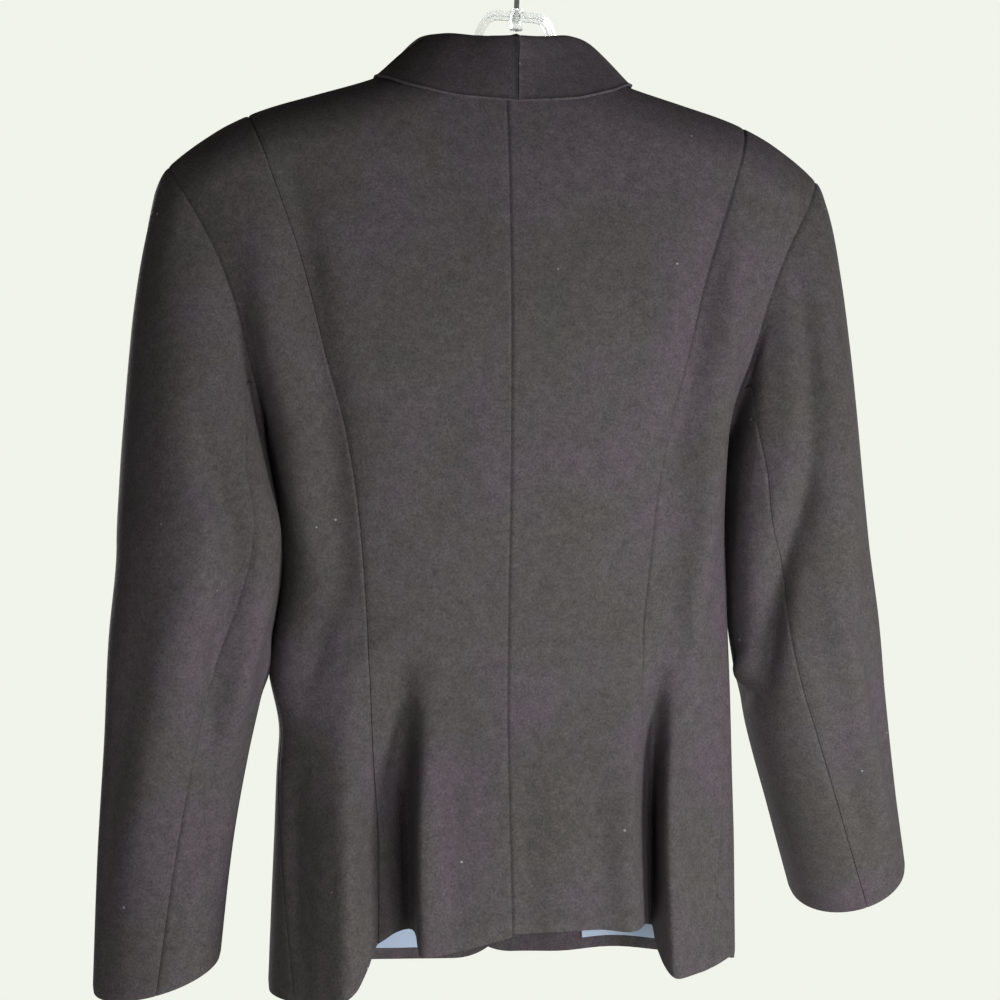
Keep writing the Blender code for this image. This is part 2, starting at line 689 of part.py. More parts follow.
def collar_half(side, material):
    points = draw_in(collar_grid(side), first_row=COLLAR_GAP)
    along, over = np.gradient(points, axis=0), np.gradient(points, axis=1)
    normals = unit(np.cross(along, over)) * side
    normals[0, :, 0] = 0
    normals = unit(normals)
    return wall(f"collar_{SIDE_NAMES[side]}", points, normals, COLLAR_CLOTH, material)


def button(number, drop, lift, material):
    """A dished round button lying on the right front at the centre line."""
    surface = partial(on_body, RIGHT, FRONT)
    where = [np.array(0.0), np.array(drop)]
    out = normals_of(surface, *where, RIGHT, (-1.0, 1.0), (-60.0, 640.0))
    spot = surface(*where) + out * lift
    across = np.array([1.0, 0.0, 0.0])
    down = np.cross(out, across)
    profile = (
        (0.0, 0.0),
        (BUTTON_RADIUS * 0.8, 0.0),
        (BUTTON_RADIUS, BUTTON_RIM * 0.5),
        (BUTTON_RADIUS * 0.9, BUTTON_RIM),
        (BUTTON_RADIUS * 0.68, BUTTON_DISH),
        (0.0, BUTTON_DISH),
    )
    mesh = bmesh.new()
    rings = []
    for radius, height in profile:
        turns = np.linspace(0, 2 * math.pi, BUTTON_SIDES, endpoint=False) if radius else (0.0,)
        ring = [spot + out * height + radius * (across * math.cos(a) + down * math.sin(a)) for a in turns]
        rings.append([mesh.verts.new(place(point)) for point in ring])
    for low, high in zip(rings, rings[1:]):
        for i in range(BUTTON_SIDES):
            j = i + 1
            quad = (low[i % len(low)], low[j % len(low)], high[j % len(high)], high[i % len(high)])
            mesh.faces.new(dict.fromkeys(quad))
    return finish(f"button_{number}", mesh, material)


def sweep(name, path, section, material):
    """A bar along a path in the XZ plane: section gives its outline (y, above the path) at each point."""
    path = np.asarray(path, float)
    ahead = unit(np.gradient(path, axis=0))
    above = np.stack([-ahead[:, 1], ahead[:, 0]], axis=-1)
    mesh = bmesh.new()
    rings = []
    for i, (spot, up) in enumerate(zip(path, above)):
        ring = [(spot[0] + up[0] * high, y, spot[1] + up[1] * high) for y, high in section(i)]
        rings.append([mesh.verts.new(np.array(corner) * MM) for corner in ring])
    for low, high in zip(rings, rings[1:]):
        for j in range(len(low)):
            k = (j + 1) % len(low)
            mesh.faces.new((low[j], low[k], high[k], high[j]))
    mesh.faces.new(rings[0])
    mesh.faces.new(rings[-1][::-1])
    return finish(name, mesh, material)


def arm_top(reach):
    """Height of a hanger arm that lies just under the lower of the two shoulders."""
    heights = []
    for side in (LEFT, RIGHT):
        slid = side * reach + (NAPE_BELOW_HOOK * math.sin(HANGER_TILT) - SLID_LEFT)
        cloth = -NAPE_BELOW_HOOK - ridge(slid) - CLOTH - ARM_CLEAR
        heights.append((cloth - side * reach * math.sin(HANGER_TILT)) / math.cos(HANGER_TILT))
    return np.minimum(*heights)


def hanger_path():
    """The top line of the hanger from its left tip over the crown to its right tip."""
    arm = np.arange(ARM_MEETS, ARM_REACH + ARM_STEP / 2, ARM_STEP)
    x = np.concatenate([[spot[0] for spot in CROWN], arm])
    z = np.concatenate([[spot[1] for spot in CROWN], arm_top(arm)])
    crown = [np.arange(0, 14, 7.0), np.arange(14, 30, 2.5), np.arange(30, 64, 6.0)]
    places = np.concatenate([*crown, arm - ARM_STEP * 2])
    half = np.stack([places, smooth(places, x, z)], axis=-1)
    return np.concatenate([half[:0:-1] * (1, 1), half * (-1, 1)])


def drill(body, radius, bottom, top, operation):
    """A round post added to a body along the hook's axis, or a hole cut in it."""
    mesh = bmesh.new()
    bmesh.ops.create_cone(
        mesh, cap_ends=True, segments=24, radius1=radius * MM, radius2=radius * MM, depth=(top - bottom) * MM
    )
    bmesh.ops.translate(mesh, verts=mesh.verts, vec=(0, 0, (top + bottom) / 2 * MM))
    data = bpy.data.meshes.new("tool")
    mesh.to_mesh(data)
    mesh.free()
    tool = bpy.data.objects.new("tool", data)
    bpy.context.scene.collection.objects.link(tool)
    change = body.modifiers.new(operation, "BOOLEAN")
    change.operation, change.object, change.solver = operation, tool, "EXACT"
    bpy.context.view_layer.update()
    shaped = bpy.data.meshes.new_from_object(body.evaluated_get(bpy.context.evaluated_depsgraph_get()))
    body.modifiers.clear()
    body.data = shaped
    bpy.data.objects.remove(tool)


def hanger_body(material):
    path = hanger_path()
    slim = ramp(np.abs(path[:, 0]), CROWN[3][0], ARM_MEETS)
    deep = WEB_DEEP[0] + (WEB_DEEP[1] - WEB_DEEP[0]) * slim

    def section(i):
        half, web = FLANGE_HALF, WEB_HALF
        right = [(half, 0), (half, FLANGE_THICK), (web, FLANGE_THICK), (web, deep[i])]
        return [(y, high) for y, high in right] + [(-y, high) for y, high in right[::-1]]

    made = sweep("hanger_body", path, section, material)
    crown = CROWN[0][1]
    drill(made, BOSS_RADIUS, crown - BOSS_BELOW, crown + BOSS_ABOVE, "UNION")
    drill(made, WIRE_RADIUS + SHANK_GAP, crown - SHANK_DEEP - SHANK_GAP, crown + 2 * BOSS_ABOVE, "DIFFERENCE")
    made.rotation_euler.y = -HANGER_TILT
    return made


def hanger_hook(material):
    """A wire hook whose inner crown is at the origin."""
    radius = HOOK_INNER_RADIUS + WIRE_RADIUS
    turns = np.linspace(math.radians(228), HOOK_TIP_ANGLE, 20)
    arc = np.stack([radius * np.cos(turns), radius * np.sin(turns) - HOOK_INNER_RADIUS], axis=-1)
    foot = CROWN[0][1] - SHANK_DEEP
    knots = np.array([(0, foot), (0, -72), (0, -58), (-2.5, -50.5), (-8, -44.5), arc[0]])
    neck = through(knots[None], np.linspace(0, len(knots) - 1, 14))[0]

    def section(_):
        turns = np.linspace(0, 2 * math.pi, WIRE_SIDES, endpoint=False)
        return [(WIRE_RADIUS * math.cos(a), WIRE_RADIUS * math.sin(a)) for a in turns]

    made = sweep("hanger_hook", np.concatenate([neck, arc[1:]]), section, material)
    made.rotation_euler.y = -HANGER_TILT
    return made


def material(name, colour, roughness, metallic=0.0):
    made = bpy.data.materials.new(name)
    made.use_nodes = True
    shader = made.node_tree.nodes["Principled BSDF"]
    shader.inputs["Base Color"].default_value = (*colour, 1.0)
    shader.inputs["Roughness"].default_value = roughness
    shader.inputs["Metallic"].default_value = metallic
    return made


for old in list(bpy.data.objects):
    bpy.data.objects.remove(old)
parts = bpy.data.collections.new("blazer")
bpy.context.scene.collection.children.link(parts)

suiting = material("suiting", (0.055, 0.05, 0.052), 0.85)
blue_lining = material("lining", (0.34, 0.42, 0.54), 0.5)
black_plastic = material("black_plastic", (0.02, 0.02, 0.02), 0.35)
clear_plastic = material("clear_plastic", (0.9, 0.93, 0.92), 0.15)
bright_wire = material("bright_wire", (0.75, 0.76, 0.78), 0.25, 1.0)

for side, side_name in SIDE_NAMES.items():
    back_panel(f"back_{side_name}", side, CENTRE_COLUMNS, suiting)
    back_panel(f"side_back_{side_name}", side, SIDE_COLUMNS, suiting)
    front_panel(side, suiting)
    front_lining(side, blue_lining)
    sleeve_panel(side, True, suiting)
    sleeve_panel(side, False, suiting)
    collar_half(side, suiting)
for number, (drop, lift) in enumerate(BUTTON_PLACES, 1):
    button(number, drop, lift, black_plastic)
hanger_body(clear_plastic)
hanger_hook(bright_wire)
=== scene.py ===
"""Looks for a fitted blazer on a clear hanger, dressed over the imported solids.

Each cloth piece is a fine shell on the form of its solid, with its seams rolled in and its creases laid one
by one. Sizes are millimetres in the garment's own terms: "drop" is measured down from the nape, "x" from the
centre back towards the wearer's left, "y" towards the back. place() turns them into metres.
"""

import json
import math
from functools import partial

import bmesh
import bpy
import numpy as np
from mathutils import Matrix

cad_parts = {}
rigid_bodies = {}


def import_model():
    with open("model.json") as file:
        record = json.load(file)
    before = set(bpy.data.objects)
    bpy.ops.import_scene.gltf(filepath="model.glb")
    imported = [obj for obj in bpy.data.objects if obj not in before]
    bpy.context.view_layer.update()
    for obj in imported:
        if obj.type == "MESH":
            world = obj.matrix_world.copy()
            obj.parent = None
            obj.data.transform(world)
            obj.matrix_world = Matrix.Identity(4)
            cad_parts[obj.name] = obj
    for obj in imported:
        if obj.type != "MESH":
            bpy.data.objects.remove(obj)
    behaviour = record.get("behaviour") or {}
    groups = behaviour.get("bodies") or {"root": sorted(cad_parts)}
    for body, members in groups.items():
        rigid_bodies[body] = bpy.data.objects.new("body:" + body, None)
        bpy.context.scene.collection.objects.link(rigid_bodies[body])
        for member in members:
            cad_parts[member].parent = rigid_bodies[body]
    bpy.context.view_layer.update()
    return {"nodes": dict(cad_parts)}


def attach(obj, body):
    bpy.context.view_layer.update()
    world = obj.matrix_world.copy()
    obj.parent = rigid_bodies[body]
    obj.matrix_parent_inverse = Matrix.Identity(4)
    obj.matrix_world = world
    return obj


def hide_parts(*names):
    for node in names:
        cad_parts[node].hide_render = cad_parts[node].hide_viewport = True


MM = 0.001


class Table:
    """Rows under named columns, which can be read as smooth curves over the first column."""

    def __init__(self, columns, *rows):
        self.columns = columns.split()
        self.rows = [dict(zip(self.columns, row)) for row in rows]

    def column(self, name):
        return np.array([row[name] for row in self.rows], float)

    def read(self, name, at):
        return smooth(at, self.column(self.columns[0]), self.column(name))


# Thickness of the cloths, and gaps between layers and between the collar's halves
CLOTH = 1.8
COLLAR_CLOTH = 2.2
LINING = 1.0
LAYER_GAP = 1.2
COLLAR_GAP = 1.0

# How it hangs: the nape below the hook's crown, and how far it has slid on the tilted hanger
NAPE_BELOW_HOOK = 133.0
SLID_LEFT = 17.0
HANGER_TILT = math.radians(2.7)

# Drops below the nape: the underarm, the row through it at the centre, and the break of the lapels
UNDERARM = 248.0
MID_CENTRE = 238.0
BREAK_POINT = 300.0

# The neck point's distance from the centre, the power of the body's rings, of which 2 is an ellipse, and the
# drop over which the shoulder line is rounded
NECK_X = 78.0
RING_POWER = 2.5
RIDGE_ROUND = 42.0

# Rows and columns of the panels, as shares of the way down to the underarm and across from the centre back
ARM_SHARE = 0.4
ARM_ROWS = (0, 0.02, 0.06, 0.12, 0.21, 0.32, 0.45, 0.58, 0.7, 0.81, 0.9, 0.96)
LOWER_ROWS = 12
PRINCESS_U = 0.5
NECK_U = 0.2

# Ring sections of the body: half widths to the left and right, depths behind and before the shoulder line
SECTIONS = Table(
    "drop left right back front",
    (-60, 246, 246, 34, 26),
    (0, 243, 243, 43, 40),
    (60, 238, 238, 58, 62),
    (120, 224, 224, 67, 80),
    (180, 196, 196, 71, 92),
    (248, 161, 161, 69, 92),
    (300, 152, 158, 64, 84),
    (360, 151, 163, 56, 72),
    (430, 151, 167, 50, 64),
    (480, 155, 168, 56, 68),
    (540, 158, 169, 68, 78),
    (640, 162, 169, 84, 90),
)

# Shoulder line, by distance from the centre back
SHOULDER = Table(
    "x drop",
    (0, -36), (78, -9), (94, -3), (130, 8), (165, 19), (190, 30.5), (205, 40), (220, 51), (230, 59.5),
)

# Princess seams of the back, and the armhole edges of the back and the front
PRINCESS = Table(
    "drop left right",
    (0, 182, 182),
    (20, 176, 176),
    (65, 161, 161),
    (123, 142, 143),
    (190, 125, 126),
    (245, 110, 112),
    (300, 101, 102),
    (345, 97, 97.5),
    (385, 94.5, 94.5),
    (428, 93, 95),
    (494, 93, 99),
    (560, 94, 103),
    (640, 95, 105),
)
ARMHOLE = Table(
    "drop back front",
    (59.5, 230, 230),
    (77, 221, 219),
    (96, 210.5, 206),
    (116, 200, 194),
    (140, 190, 182),
    (168, 181, 173),
    (192, 175.5, 167),
    (220, 168, 163),
    (238, 162.5, 161.5),
    (248, 161, 161),
)

# Degrees by which the side seams swing round onto the back below the waist
SIDE_SEAM = Table(
    "drop left right",
    (330, 0, 0),
    (390, 0, 8),
    (449, 3, 17),
    (521, 12.5, 25),
    (593, 22.5, 31.5),
    (640, 28, 34),
)

# Hem drop, from the centre line (0) to the side seam (1)
HEM = Table(
    "u back_left back_right front_left front_right",
    (0.0, 583, 581, 633, 630),
    (0.27, 593, 580, 632, 628),
    (0.38, 584, 582, 632, 627),
    (0.5, 590, 579, 632, 626),
    (0.54, 604, 598, 632, 624),
    (0.6, 617, 608, 631, 622),
    (0.75, 626, 614, 630, 618),
    (0.9, 628, 614, 629, 610),
    (1.0, 629, 613, 629, 613),
)

# Front edge: the roll of the lapel down to the break point, then the lap past the centre front
FRONT_EDGE = Table(
    "drop x",
    (-9, 78), (40, 62), (100, 46), (160, 30), (223, 12), (270, -6), (300, -16), (335, -20), (640, -20),
)

# How the left front goes in under the right one, the front corners, and the edges of the lining
LAP = 20.0
UNDERLAP_INSET = 3.6
UNDERLAP_RAMP = (26.0, 75.0)
TUCK_INSET = 10.5
TUCK_DROPS = (180.0, 236.0, 306.0, 390.0)
CORNER_RADIUS = 42.0
LINING_ABOVE_HEM = 9.0
LINING_HEM_U = 0.5
LINING_TOP_ROW = 3
LINING_SHORT_OF_SIDE = 0.985

# Folds: where each lies, how far to either side it fades, how far out it stands at its full drop, where it
# starts and ends, and how far its crest leans to the left
FOLD_COLUMNS = "x half_width out start full end lean"
FOLDS = {
    "back": Table(
        FOLD_COLUMNS,
        (72, 11, -34, 375, 530, 900, 0),
        (89, 13, -24, 385, 545, 900, 0),
        (114, 14, 15, 400, 560, 900, -8),
        (52, 11, 10, 395, 530, 900, 8),
        (-104, 11, -41, 375, 545, 900, -14),
        (-121, 11, 21, 390, 540, 900, 20),
        (-80, 15, 5, 400, 550, 900, 0),
        (140, 20, 6, 150, 280, 380, 0),
        (-142, 20, 7, 140, 300, 420, 0),
        (162, 18, 15, 330, 405, 458, 0),
    ),
    "front": Table(
        FOLD_COLUMNS,
        (140, 18, 15, 330, 405, 458, 0),
        (92, 26, 7, 430, 610, 900, 0),
        (-95, 26, 9, 430, 610, 900, 0),
        (-60, 22, -6, 430, 610, 900, 0),
    ),
}

# Sleeves: stations down the middle line, half sizes of the ring across and fore-aft, how far
# it is turned, and how much lower its outer edge hangs than its middle
SLEEVE_COLUMNS = "drop out back half_across half_deep turn slant"
SLEEVES = {
    "left": Table(
        SLEEVE_COLUMNS,
        (272, 212, 8, 50, 62, 16, 0),
        (320, 209, 15, 54.5, 61, 24, 0),
        (390, 217, 9, 53, 57, 20, 0),
        (460, 225, -3, 49, 51, 12, 2),
        (540, 233, -12, 46, 46, 8, 8),
        (622, 239, -24, 43.5, 43, 4, 14),
    ),
    "right": Table(
        SLEEVE_COLUMNS,
        (272, 214, 0, 50, 63, 12, 0),
        (320, 216, 2, 52, 60, 16, 0),
        (375, 221, 2, 54, 57, 16, 0),
        (436, 234, -14, 52, 52, 12, 0),
        (510, 257, -46, 48, 46, 8, 0),
        (577, 280, -80, 45, 42.5, 4, 0),
    ),
}

# Where the two sleeve seams run, in degrees round from the outer edge, by share of the length below the cap
SLEEVE_SEAMS = Table(
    "share back_seam front_seam", (-0.5, 150, 222), (0.0, 113, 232), (0.4, 97, 238), (1.0, 88, 244)
)

# Step for the sleeve's direction, and the share of it over which its rings turn from level to square to it
SLEEVE_STEP = 0.04
SLEEVE_LEVEL_SHARE = 0.25

# Sleeve cap: its share of rows above the biceps, how strongly it leaves the armhole and arrives there, and
# the way it leaves, out and down, at the shoulder tip and from a share of the way to the underarm on
CAP_SHARE = 0.5
CAP_LEAVE = 0.30
CAP_ARRIVE = 1.0
CAP_FULLNESS = 0.25
CAP_WAY_TIP = (0.8, 0.6)
CAP_WAY_LOW = (1.0, 0.05)
CAP_LOW_SHARE = 0.75
ARMHOLE_POWER = 1.15
CAP_STEP = 0.01

# Collar, from the centre back (0) over the shoulder (1) to the break point (2): height and lean of the roll,
# how far inside the body's face and past its edge the collar's base lies, and where the fall's edge lies
COLLAR = Table(
    "s stand lean base_in base_past edge_x edge_drop",
    (0.0, 31, 0, 2.0, 1.0, 0, 18),
    (0.45, 32, 6, 2.0, 1.0, 40, 15),
    (0.75, 33, 17, 2.0, 1.0, 70, 7),
    (1.0, 33, 26, 2.2, 1.0, 93, -3.2),
    (1.12, 29, 26, 5.0, 1.0, 100, 22),
    (1.35, 18, 20, 5.0, -7, 106, 90),
    (1.55, 8, 8, 5.0, -9, 100, 152),
    (1.75, 5.6, 0, 5.0, -9, 80, 214),
    (1.9, 5.4, 0, 5.0, -9, 46, 262),
    (2.0, 5.4, 0, 5.0, -6, 2, 296),
)
# How far the fall lies clear of the body, the step for the neck's direction, where the fall comes to lie on
# the front, and the shares of the fall that have knots
COLLAR_CLEAR = 4.6
COLLAR_STEP = 0.02
COLLAR_LAID = (1.05, 1.3)
FALL_SHARES = (0.4, 0.75)

# The collar has slipped round the neck: how far its roll and fall lie to the right, and where that fades
COLLAR_SLIP = 7.0
COLLAR_SLIP_FADE = {"left": (1.0, 1.35), "right": (0.2, 1.0)}
ROLL_RADIUS = (3.4, 4.6)
COLLAR_END = {"left": 1.93, "right": 1.97}

LEFT, RIGHT = 1, -1
BACK, FRONT = 1, -1
SIDE_NAMES = {LEFT: "left", RIGHT: "right"}
FACE_NAMES = {BACK: "back", FRONT: "front"}

# Ranges that surfaces are read in, passes that find a panel's top, and small steps and limits
SINE_RANGE = (-1.0, 1.0)
SINE_MOST = 0.99
DROP_RANGE = tuple(SECTIONS.column("drop")[[0, -1]])
TOP_PASSES = 8
TINY = 1e-4
SHORTEST = 1e-12
NEVER_ZERO = 1e-300


def hermite(q, start, leave, end, arrive):
    """A smooth curve from a start to an end that leaves and arrives as told, at shares q of the way."""
    return (
        start * (1 + 2 * q) * (1 - q) ** 2
        + leave * q * (1 - q) ** 2
        + end * q * q * (3 - 2 * q)
        + arrive * q * q * (q - 1)
    )


def smooth(at, places, values):
    """A smooth curve through the values that never overshoots them, read at any places."""
    steps = np.diff(places)
    slopes = np.diff(values) / steps
    first, second = 2 * steps[1:] + steps[:-1], steps[1:] + 2 * steps[:-1]
    safe = np.where(slopes == 0, 1.0, slopes)
    mean = (first + second) / (first / safe[:-1] + second / safe[1:] + NEVER_ZERO)
    tangents = np.concatenate([slopes[:1], np.where(slopes[:-1] * slopes[1:] > 0, mean, 0.0), slopes[-1:]])
    at = np.clip(np.asarray(at, float), places[0], places[-1])
    i = np.clip(np.searchsorted(places, at, side="right") - 1, 0, len(steps) - 1)
    q = (at - places[i]) / steps[i]
    return hermite(q, values[i], tangents[i] * steps[i], values[i + 1], tangents[i + 1] * steps[i])


def ramp(value, start, end):
    q = np.clip((value - start) / (end - start), 0, 1)
    return q * q * (3 - 2 * q)


def unit(vectors):
    return vectors / np.maximum(np.linalg.norm(vectors, axis=-1, keepdims=True), SHORTEST)


def square_to(vectors, way):
    """The part of the vectors that is square to a unit direction, made unit length."""
    return unit(vectors - way * (vectors * way).sum(-1, keepdims=True))


def half_width(side, drop):
    return SECTIONS.read(SIDE_NAMES[side], drop)


def depth(face, drop):
    return SECTIONS.read(FACE_NAMES[face], drop)


def ridge(x):
    """Drop of the shoulder line at a distance from the centre back."""
    return SHOULDER.read("drop", np.abs(x))


def fold_shift(face, x, drop):
    """How far the folds move the cloth out, and to the left."""
    out, left = np.zeros_like(x), np.zeros_like(x)
    for fold in FOLDS[FACE_NAMES[face]].rows:
        grown = ramp(drop, fold["start"], fold["full"]) * (1 - ramp(drop, fold["full"], fold["end"]))
        bump = np.exp(-(((x - fold["x"]) / fold["half_width"]) ** 2)) * grown
        out = out + fold["out"] * bump
        left = left + fold["lean"] * bump
    return out, left


def underlap(x, drop):
    """How far the left front is tucked in behind the right one: most where the lapels cross."""
    start, full, hold, end = TUCK_DROPS
    tuck = TUCK_INSET * ramp(drop, start, full) * (1 - ramp(drop, hold, end))
    lapped = UNDERLAP_INSET * ramp(drop, start, full)
    return (tuck + lapped) * (1 - ramp(x, *UNDERLAP_RAMP))


def on_body(side, face, sine, drop):
    """Points of the body: sine is the share of the ring's half width, negative past the centre line."""
    wide = half_width(side, drop)
    x = side * sine * wide
    share = np.minimum(np.abs(sine), 1.0)
    ring = depth(face, drop) * (1 - share**RING_POWER) ** (1 / RING_POWER)
    below = np.clip((drop - ridge(x)) / RIDGE_ROUND, 0, 1)
    rounded = np.sqrt(1 - (1 - below) ** 2)
    y = face * ring * rounded
    out, left = fold_shift(face, x, drop)
    if (side, face) == (LEFT, FRONT):
        out = out - underlap(x, drop)
    across = unit(np.stack([x / wide**2, y / depth(face, drop) ** 2], axis=-1))
    return np.stack([x + left + out * across[..., 0], y + out * across[..., 1], drop], axis=-1)


def row_drop(top, mid, hem, t):
    """Drop of a point a share t of the way from its column's top to its hem."""
    upper = top + (mid - top) * t / ARM_SHARE
    lower = mid + (hem - mid) * (t - ARM_SHARE) / (1 - ARM_SHARE)
    return np.where(t < ARM_SHARE, upper, lower)


def outer_sine(side, face, t):
    """A panel's outer edge as a share of the half width, by row: the armhole, then the side seam."""
    tip = ARMHOLE.column("drop")[0]
    drop = tip + (UNDERARM - tip) * np.minimum(t / ARM_SHARE, 1.0)
    hole = ARMHOLE.read(FACE_NAMES[face], drop)
    return np.minimum(hole / half_width(side, drop), 1.0)


def seam_swing(side, drop):
    """How far the side seam lies round on the back, in radians."""
    return np.radians(SIDE_SEAM.read(SIDE_NAMES[side], drop))


def hem_drop(side, face, u):
    return HEM.read(f"{FACE_NAMES[face]}_{SIDE_NAMES[side]}", u)


def back_point(side, u, t):
    """A half of the back: u runs from the centre back over the princess seam to the armhole or side seam."""
    u, t = np.broadcast_arrays(np.asarray(u, float), np.asarray(t, float))

    def sine_at(drop, t):
        seam = PRINCESS.read(SIDE_NAMES[side], drop) / half_width(side, drop)
        seam_angle = np.arcsin(np.minimum(seam, 1.0))
        edge_angle = np.arcsin(outer_sine(side, BACK, t)) - seam_swing(side, drop)
        past = (u - PRINCESS_U) / (1 - PRINCESS_U)
        outer = seam_angle + (edge_angle - seam_angle) * past
        return np.sin(np.where(u < PRINCESS_U, seam_angle * u / PRINCESS_U, outer))

    top = np.zeros_like(u)
    for _ in range(TOP_PASSES):
        x = sine_at(top, np.zeros_like(t)) * half_width(side, top)
        top = np.where(u < NECK_U, ridge(x) * np.clip(u / NECK_U, 0, 1) ** 2, ridge(x))
    mid = MID_CENTRE + (UNDERARM - MID_CENTRE) * u
    drop = row_drop(top, mid, hem_drop(side, BACK, u), t)
    return on_body(side, BACK, sine_at(drop, t), drop)


def front_point(side, u, t):
    """A front: u runs from the roll of the lapel or the front edge to the armhole or side seam."""
    u, t = np.broadcast_arrays(np.asarray(u, float), np.asarray(t, float))

    def angle_at(drop, t):
        inner = np.arcsin(FRONT_EDGE.read("x", drop) / half_width(side, drop))
        edge_angle = np.arcsin(outer_sine(side, FRONT, t)) + seam_swing(side, drop)
        return inner + (edge_angle - inner) * u

    top = np.zeros_like(u)
    for _ in range(TOP_PASSES):
        top = ridge(np.sin(angle_at(top, np.zeros_like(t))) * half_width(side, top))
    hem = hem_drop(side, FRONT, u)
    from_edge = np.sin(angle_at(hem, np.ones_like(t))) * half_width(side, hem) + LAP
    into_corner = np.clip(CORNER_RADIUS - from_edge, 0, CORNER_RADIUS)
    hem = hem - CORNER_RADIUS + np.sqrt(CORNER_RADIUS**2 - into_corner**2)
    mid = MID_CENTRE + (UNDERARM - MID_CENTRE) * u
    drop = row_drop(top, mid, hem, t)
    angle = angle_at(drop, t)
    ahead, behind = (on_body(side, face, np.sin(angle), drop) for face in (FRONT, BACK))
    return np.where((angle > np.pi / 2)[..., None], behind, ahead)


def normals_of(surface, first, second, sign, first_range=(0.0, 1.0), second_range=(0.0, 1.0)):
    """Outward unit normals of a surface function, from steps too small to see."""
    low, high = np.maximum(first - TINY, first_range[0]), np.minimum(first + TINY, first_range[1])
    along = surface(high, second) - surface(low, second)
    low, high = np.maximum(second - TINY, second_range[0]), np.minimum(second + TINY, second_range[1])
    down = surface(first, high) - surface(first, low)
    return unit(np.cross(along, down)) * sign


def place(points):
    """Garment millimetres to metres in the part's frame."""
    x, y, drop = points[..., 0], points[..., 1], points[..., 2]
    return np.stack([x + SLID_LEFT, y, -NAPE_BELOW_HOOK - drop], axis=-1) * MM


def body_rows():
    """Shares of the way down a panel: close together over the shoulder, even below the armhole."""
    return np.concatenate([ARM_SHARE * np.array(ARM_ROWS), np.linspace(ARM_SHARE, 1.0, LOWER_ROWS + 1)])


def middle_line(side, share):
    """Points down the middle of a sleeve from the biceps (0) to the cuff (1), and its ring's sizes there."""
    sleeve = SLEEVES[SIDE_NAMES[side]]
    spots = np.stack([sleeve.column(n) for n in ("out", "back", "drop")], axis=-1)
    along = np.concatenate([[0], np.cumsum(np.linalg.norm(np.diff(spots, axis=0), axis=1))])
    size = {n: smooth(share, along / along[-1], sleeve.column(n)) for n in sleeve.columns}
    return np.stack([size["out"] * side, size["back"], size["drop"]], axis=-1), size


def ring_point(side, angle, share):
    """A point of the sleeve below its cap: angle 0 is the outer edge, 90 the back, 180 the inner side."""
    centre, size = middle_line(side, share)
    after, before = np.minimum(share + SLEEVE_STEP, 1.0), np.maximum(share - SLEEVE_STEP, 0.0)
    along = unit(middle_line(side, after)[0] - middle_line(side, before)[0])
    bent = ramp(share, 0.0, SLEEVE_LEVEL_SHARE)[..., None]
    down = unit(along * bent + np.array([0.0, 0.0, 1.0]) * (1 - bent))
    turn = np.radians(size["turn"])
    back = square_to(np.stack([-side * np.sin(turn), np.cos(turn), np.zeros_like(turn)], axis=-1), down)
    out = np.cross(back, down) * side
    outer, behind = np.cos(np.radians(angle)), np.sin(np.radians(angle))
    across, deep, lower = size["half_across"] * outer, size["half_deep"] * behind, size["slant"] * outer
    return centre + out * across[..., None] + back * deep[..., None] + down * lower[..., None]


def from_tip(angle):
    """Share of the way from the shoulder tip to the underarm, and whether it lies on the back."""
    return np.abs((angle + 180) % 360 - 180) / 180, angle % 360 <= 180


def armhole_rows(angle):
    """Where the armhole's edge lies on the panels: whether on the back, and at which u and t."""
    share, on_back = from_tip(angle)
    t = ARM_SHARE * share**ARMHOLE_POWER
    return on_back[..., None], np.ones_like(t), t


def armhole_point(side, angle):
    """The armhole's edge: the shoulder tip at 0, down the back to the underarm at 180, and up the front."""
    on_back, edge, t = armhole_rows(angle)
    return np.where(on_back, back_point(side, edge, t), front_point(side, edge, t))


def cap_way(side, angle):
    """The way the sleeve leaves the armhole: on down the shoulder at the top, out at the underarm."""
    share, on_back = from_tip(angle)
    lower = ramp(share, 0.0, CAP_LOW_SHARE)
    full = np.where(on_back, 1.0, -1.0) * CAP_FULLNESS * np.sin(np.pi * share)
    out, down = (tip + (low - tip) * lower for tip, low in zip(CAP_WAY_TIP, CAP_WAY_LOW))
    return unit(np.stack([side * out, full, down], axis=-1))


def sleeve_point(side, angle, v):
    """A sleeve: v runs from the armhole (-CAP_SHARE) to the biceps (0) and on to the cuff (1)."""
    angle, v = np.broadcast_arrays(np.asarray(angle, float), np.asarray(v, float))
    start, end = armhole_point(side, angle), ring_point(side, angle, np.zeros_like(v))
    onward = unit(ring_point(side, angle, np.full_like(v, CAP_STEP)) - end)
    reach = np.linalg.norm(end - start, axis=-1, keepdims=True)
    leave, arrive = cap_way(side, angle) * reach * CAP_LEAVE, onward * reach * CAP_ARRIVE
    q = np.clip(v / CAP_SHARE + 1, 0, 1)[..., None]
    cap = hermite(q, start, leave, end, arrive)
    return np.where((v < 0)[..., None], cap, ring_point(side, angle, np.maximum(v, 0)))


def edge_share(side, drop):
    """Row of a front's inner edge at a drop."""
    top, hem = ridge(NECK_X), hem_drop(side, FRONT, 0.0) - CORNER_RADIUS
    upper = ARM_SHARE * (drop - top) / (MID_CENTRE - top)
    lower = ARM_SHARE + (1 - ARM_SHARE) * (drop - MID_CENTRE) / (hem - MID_CENTRE)
    return np.where(drop < MID_CENTRE, upper, lower)


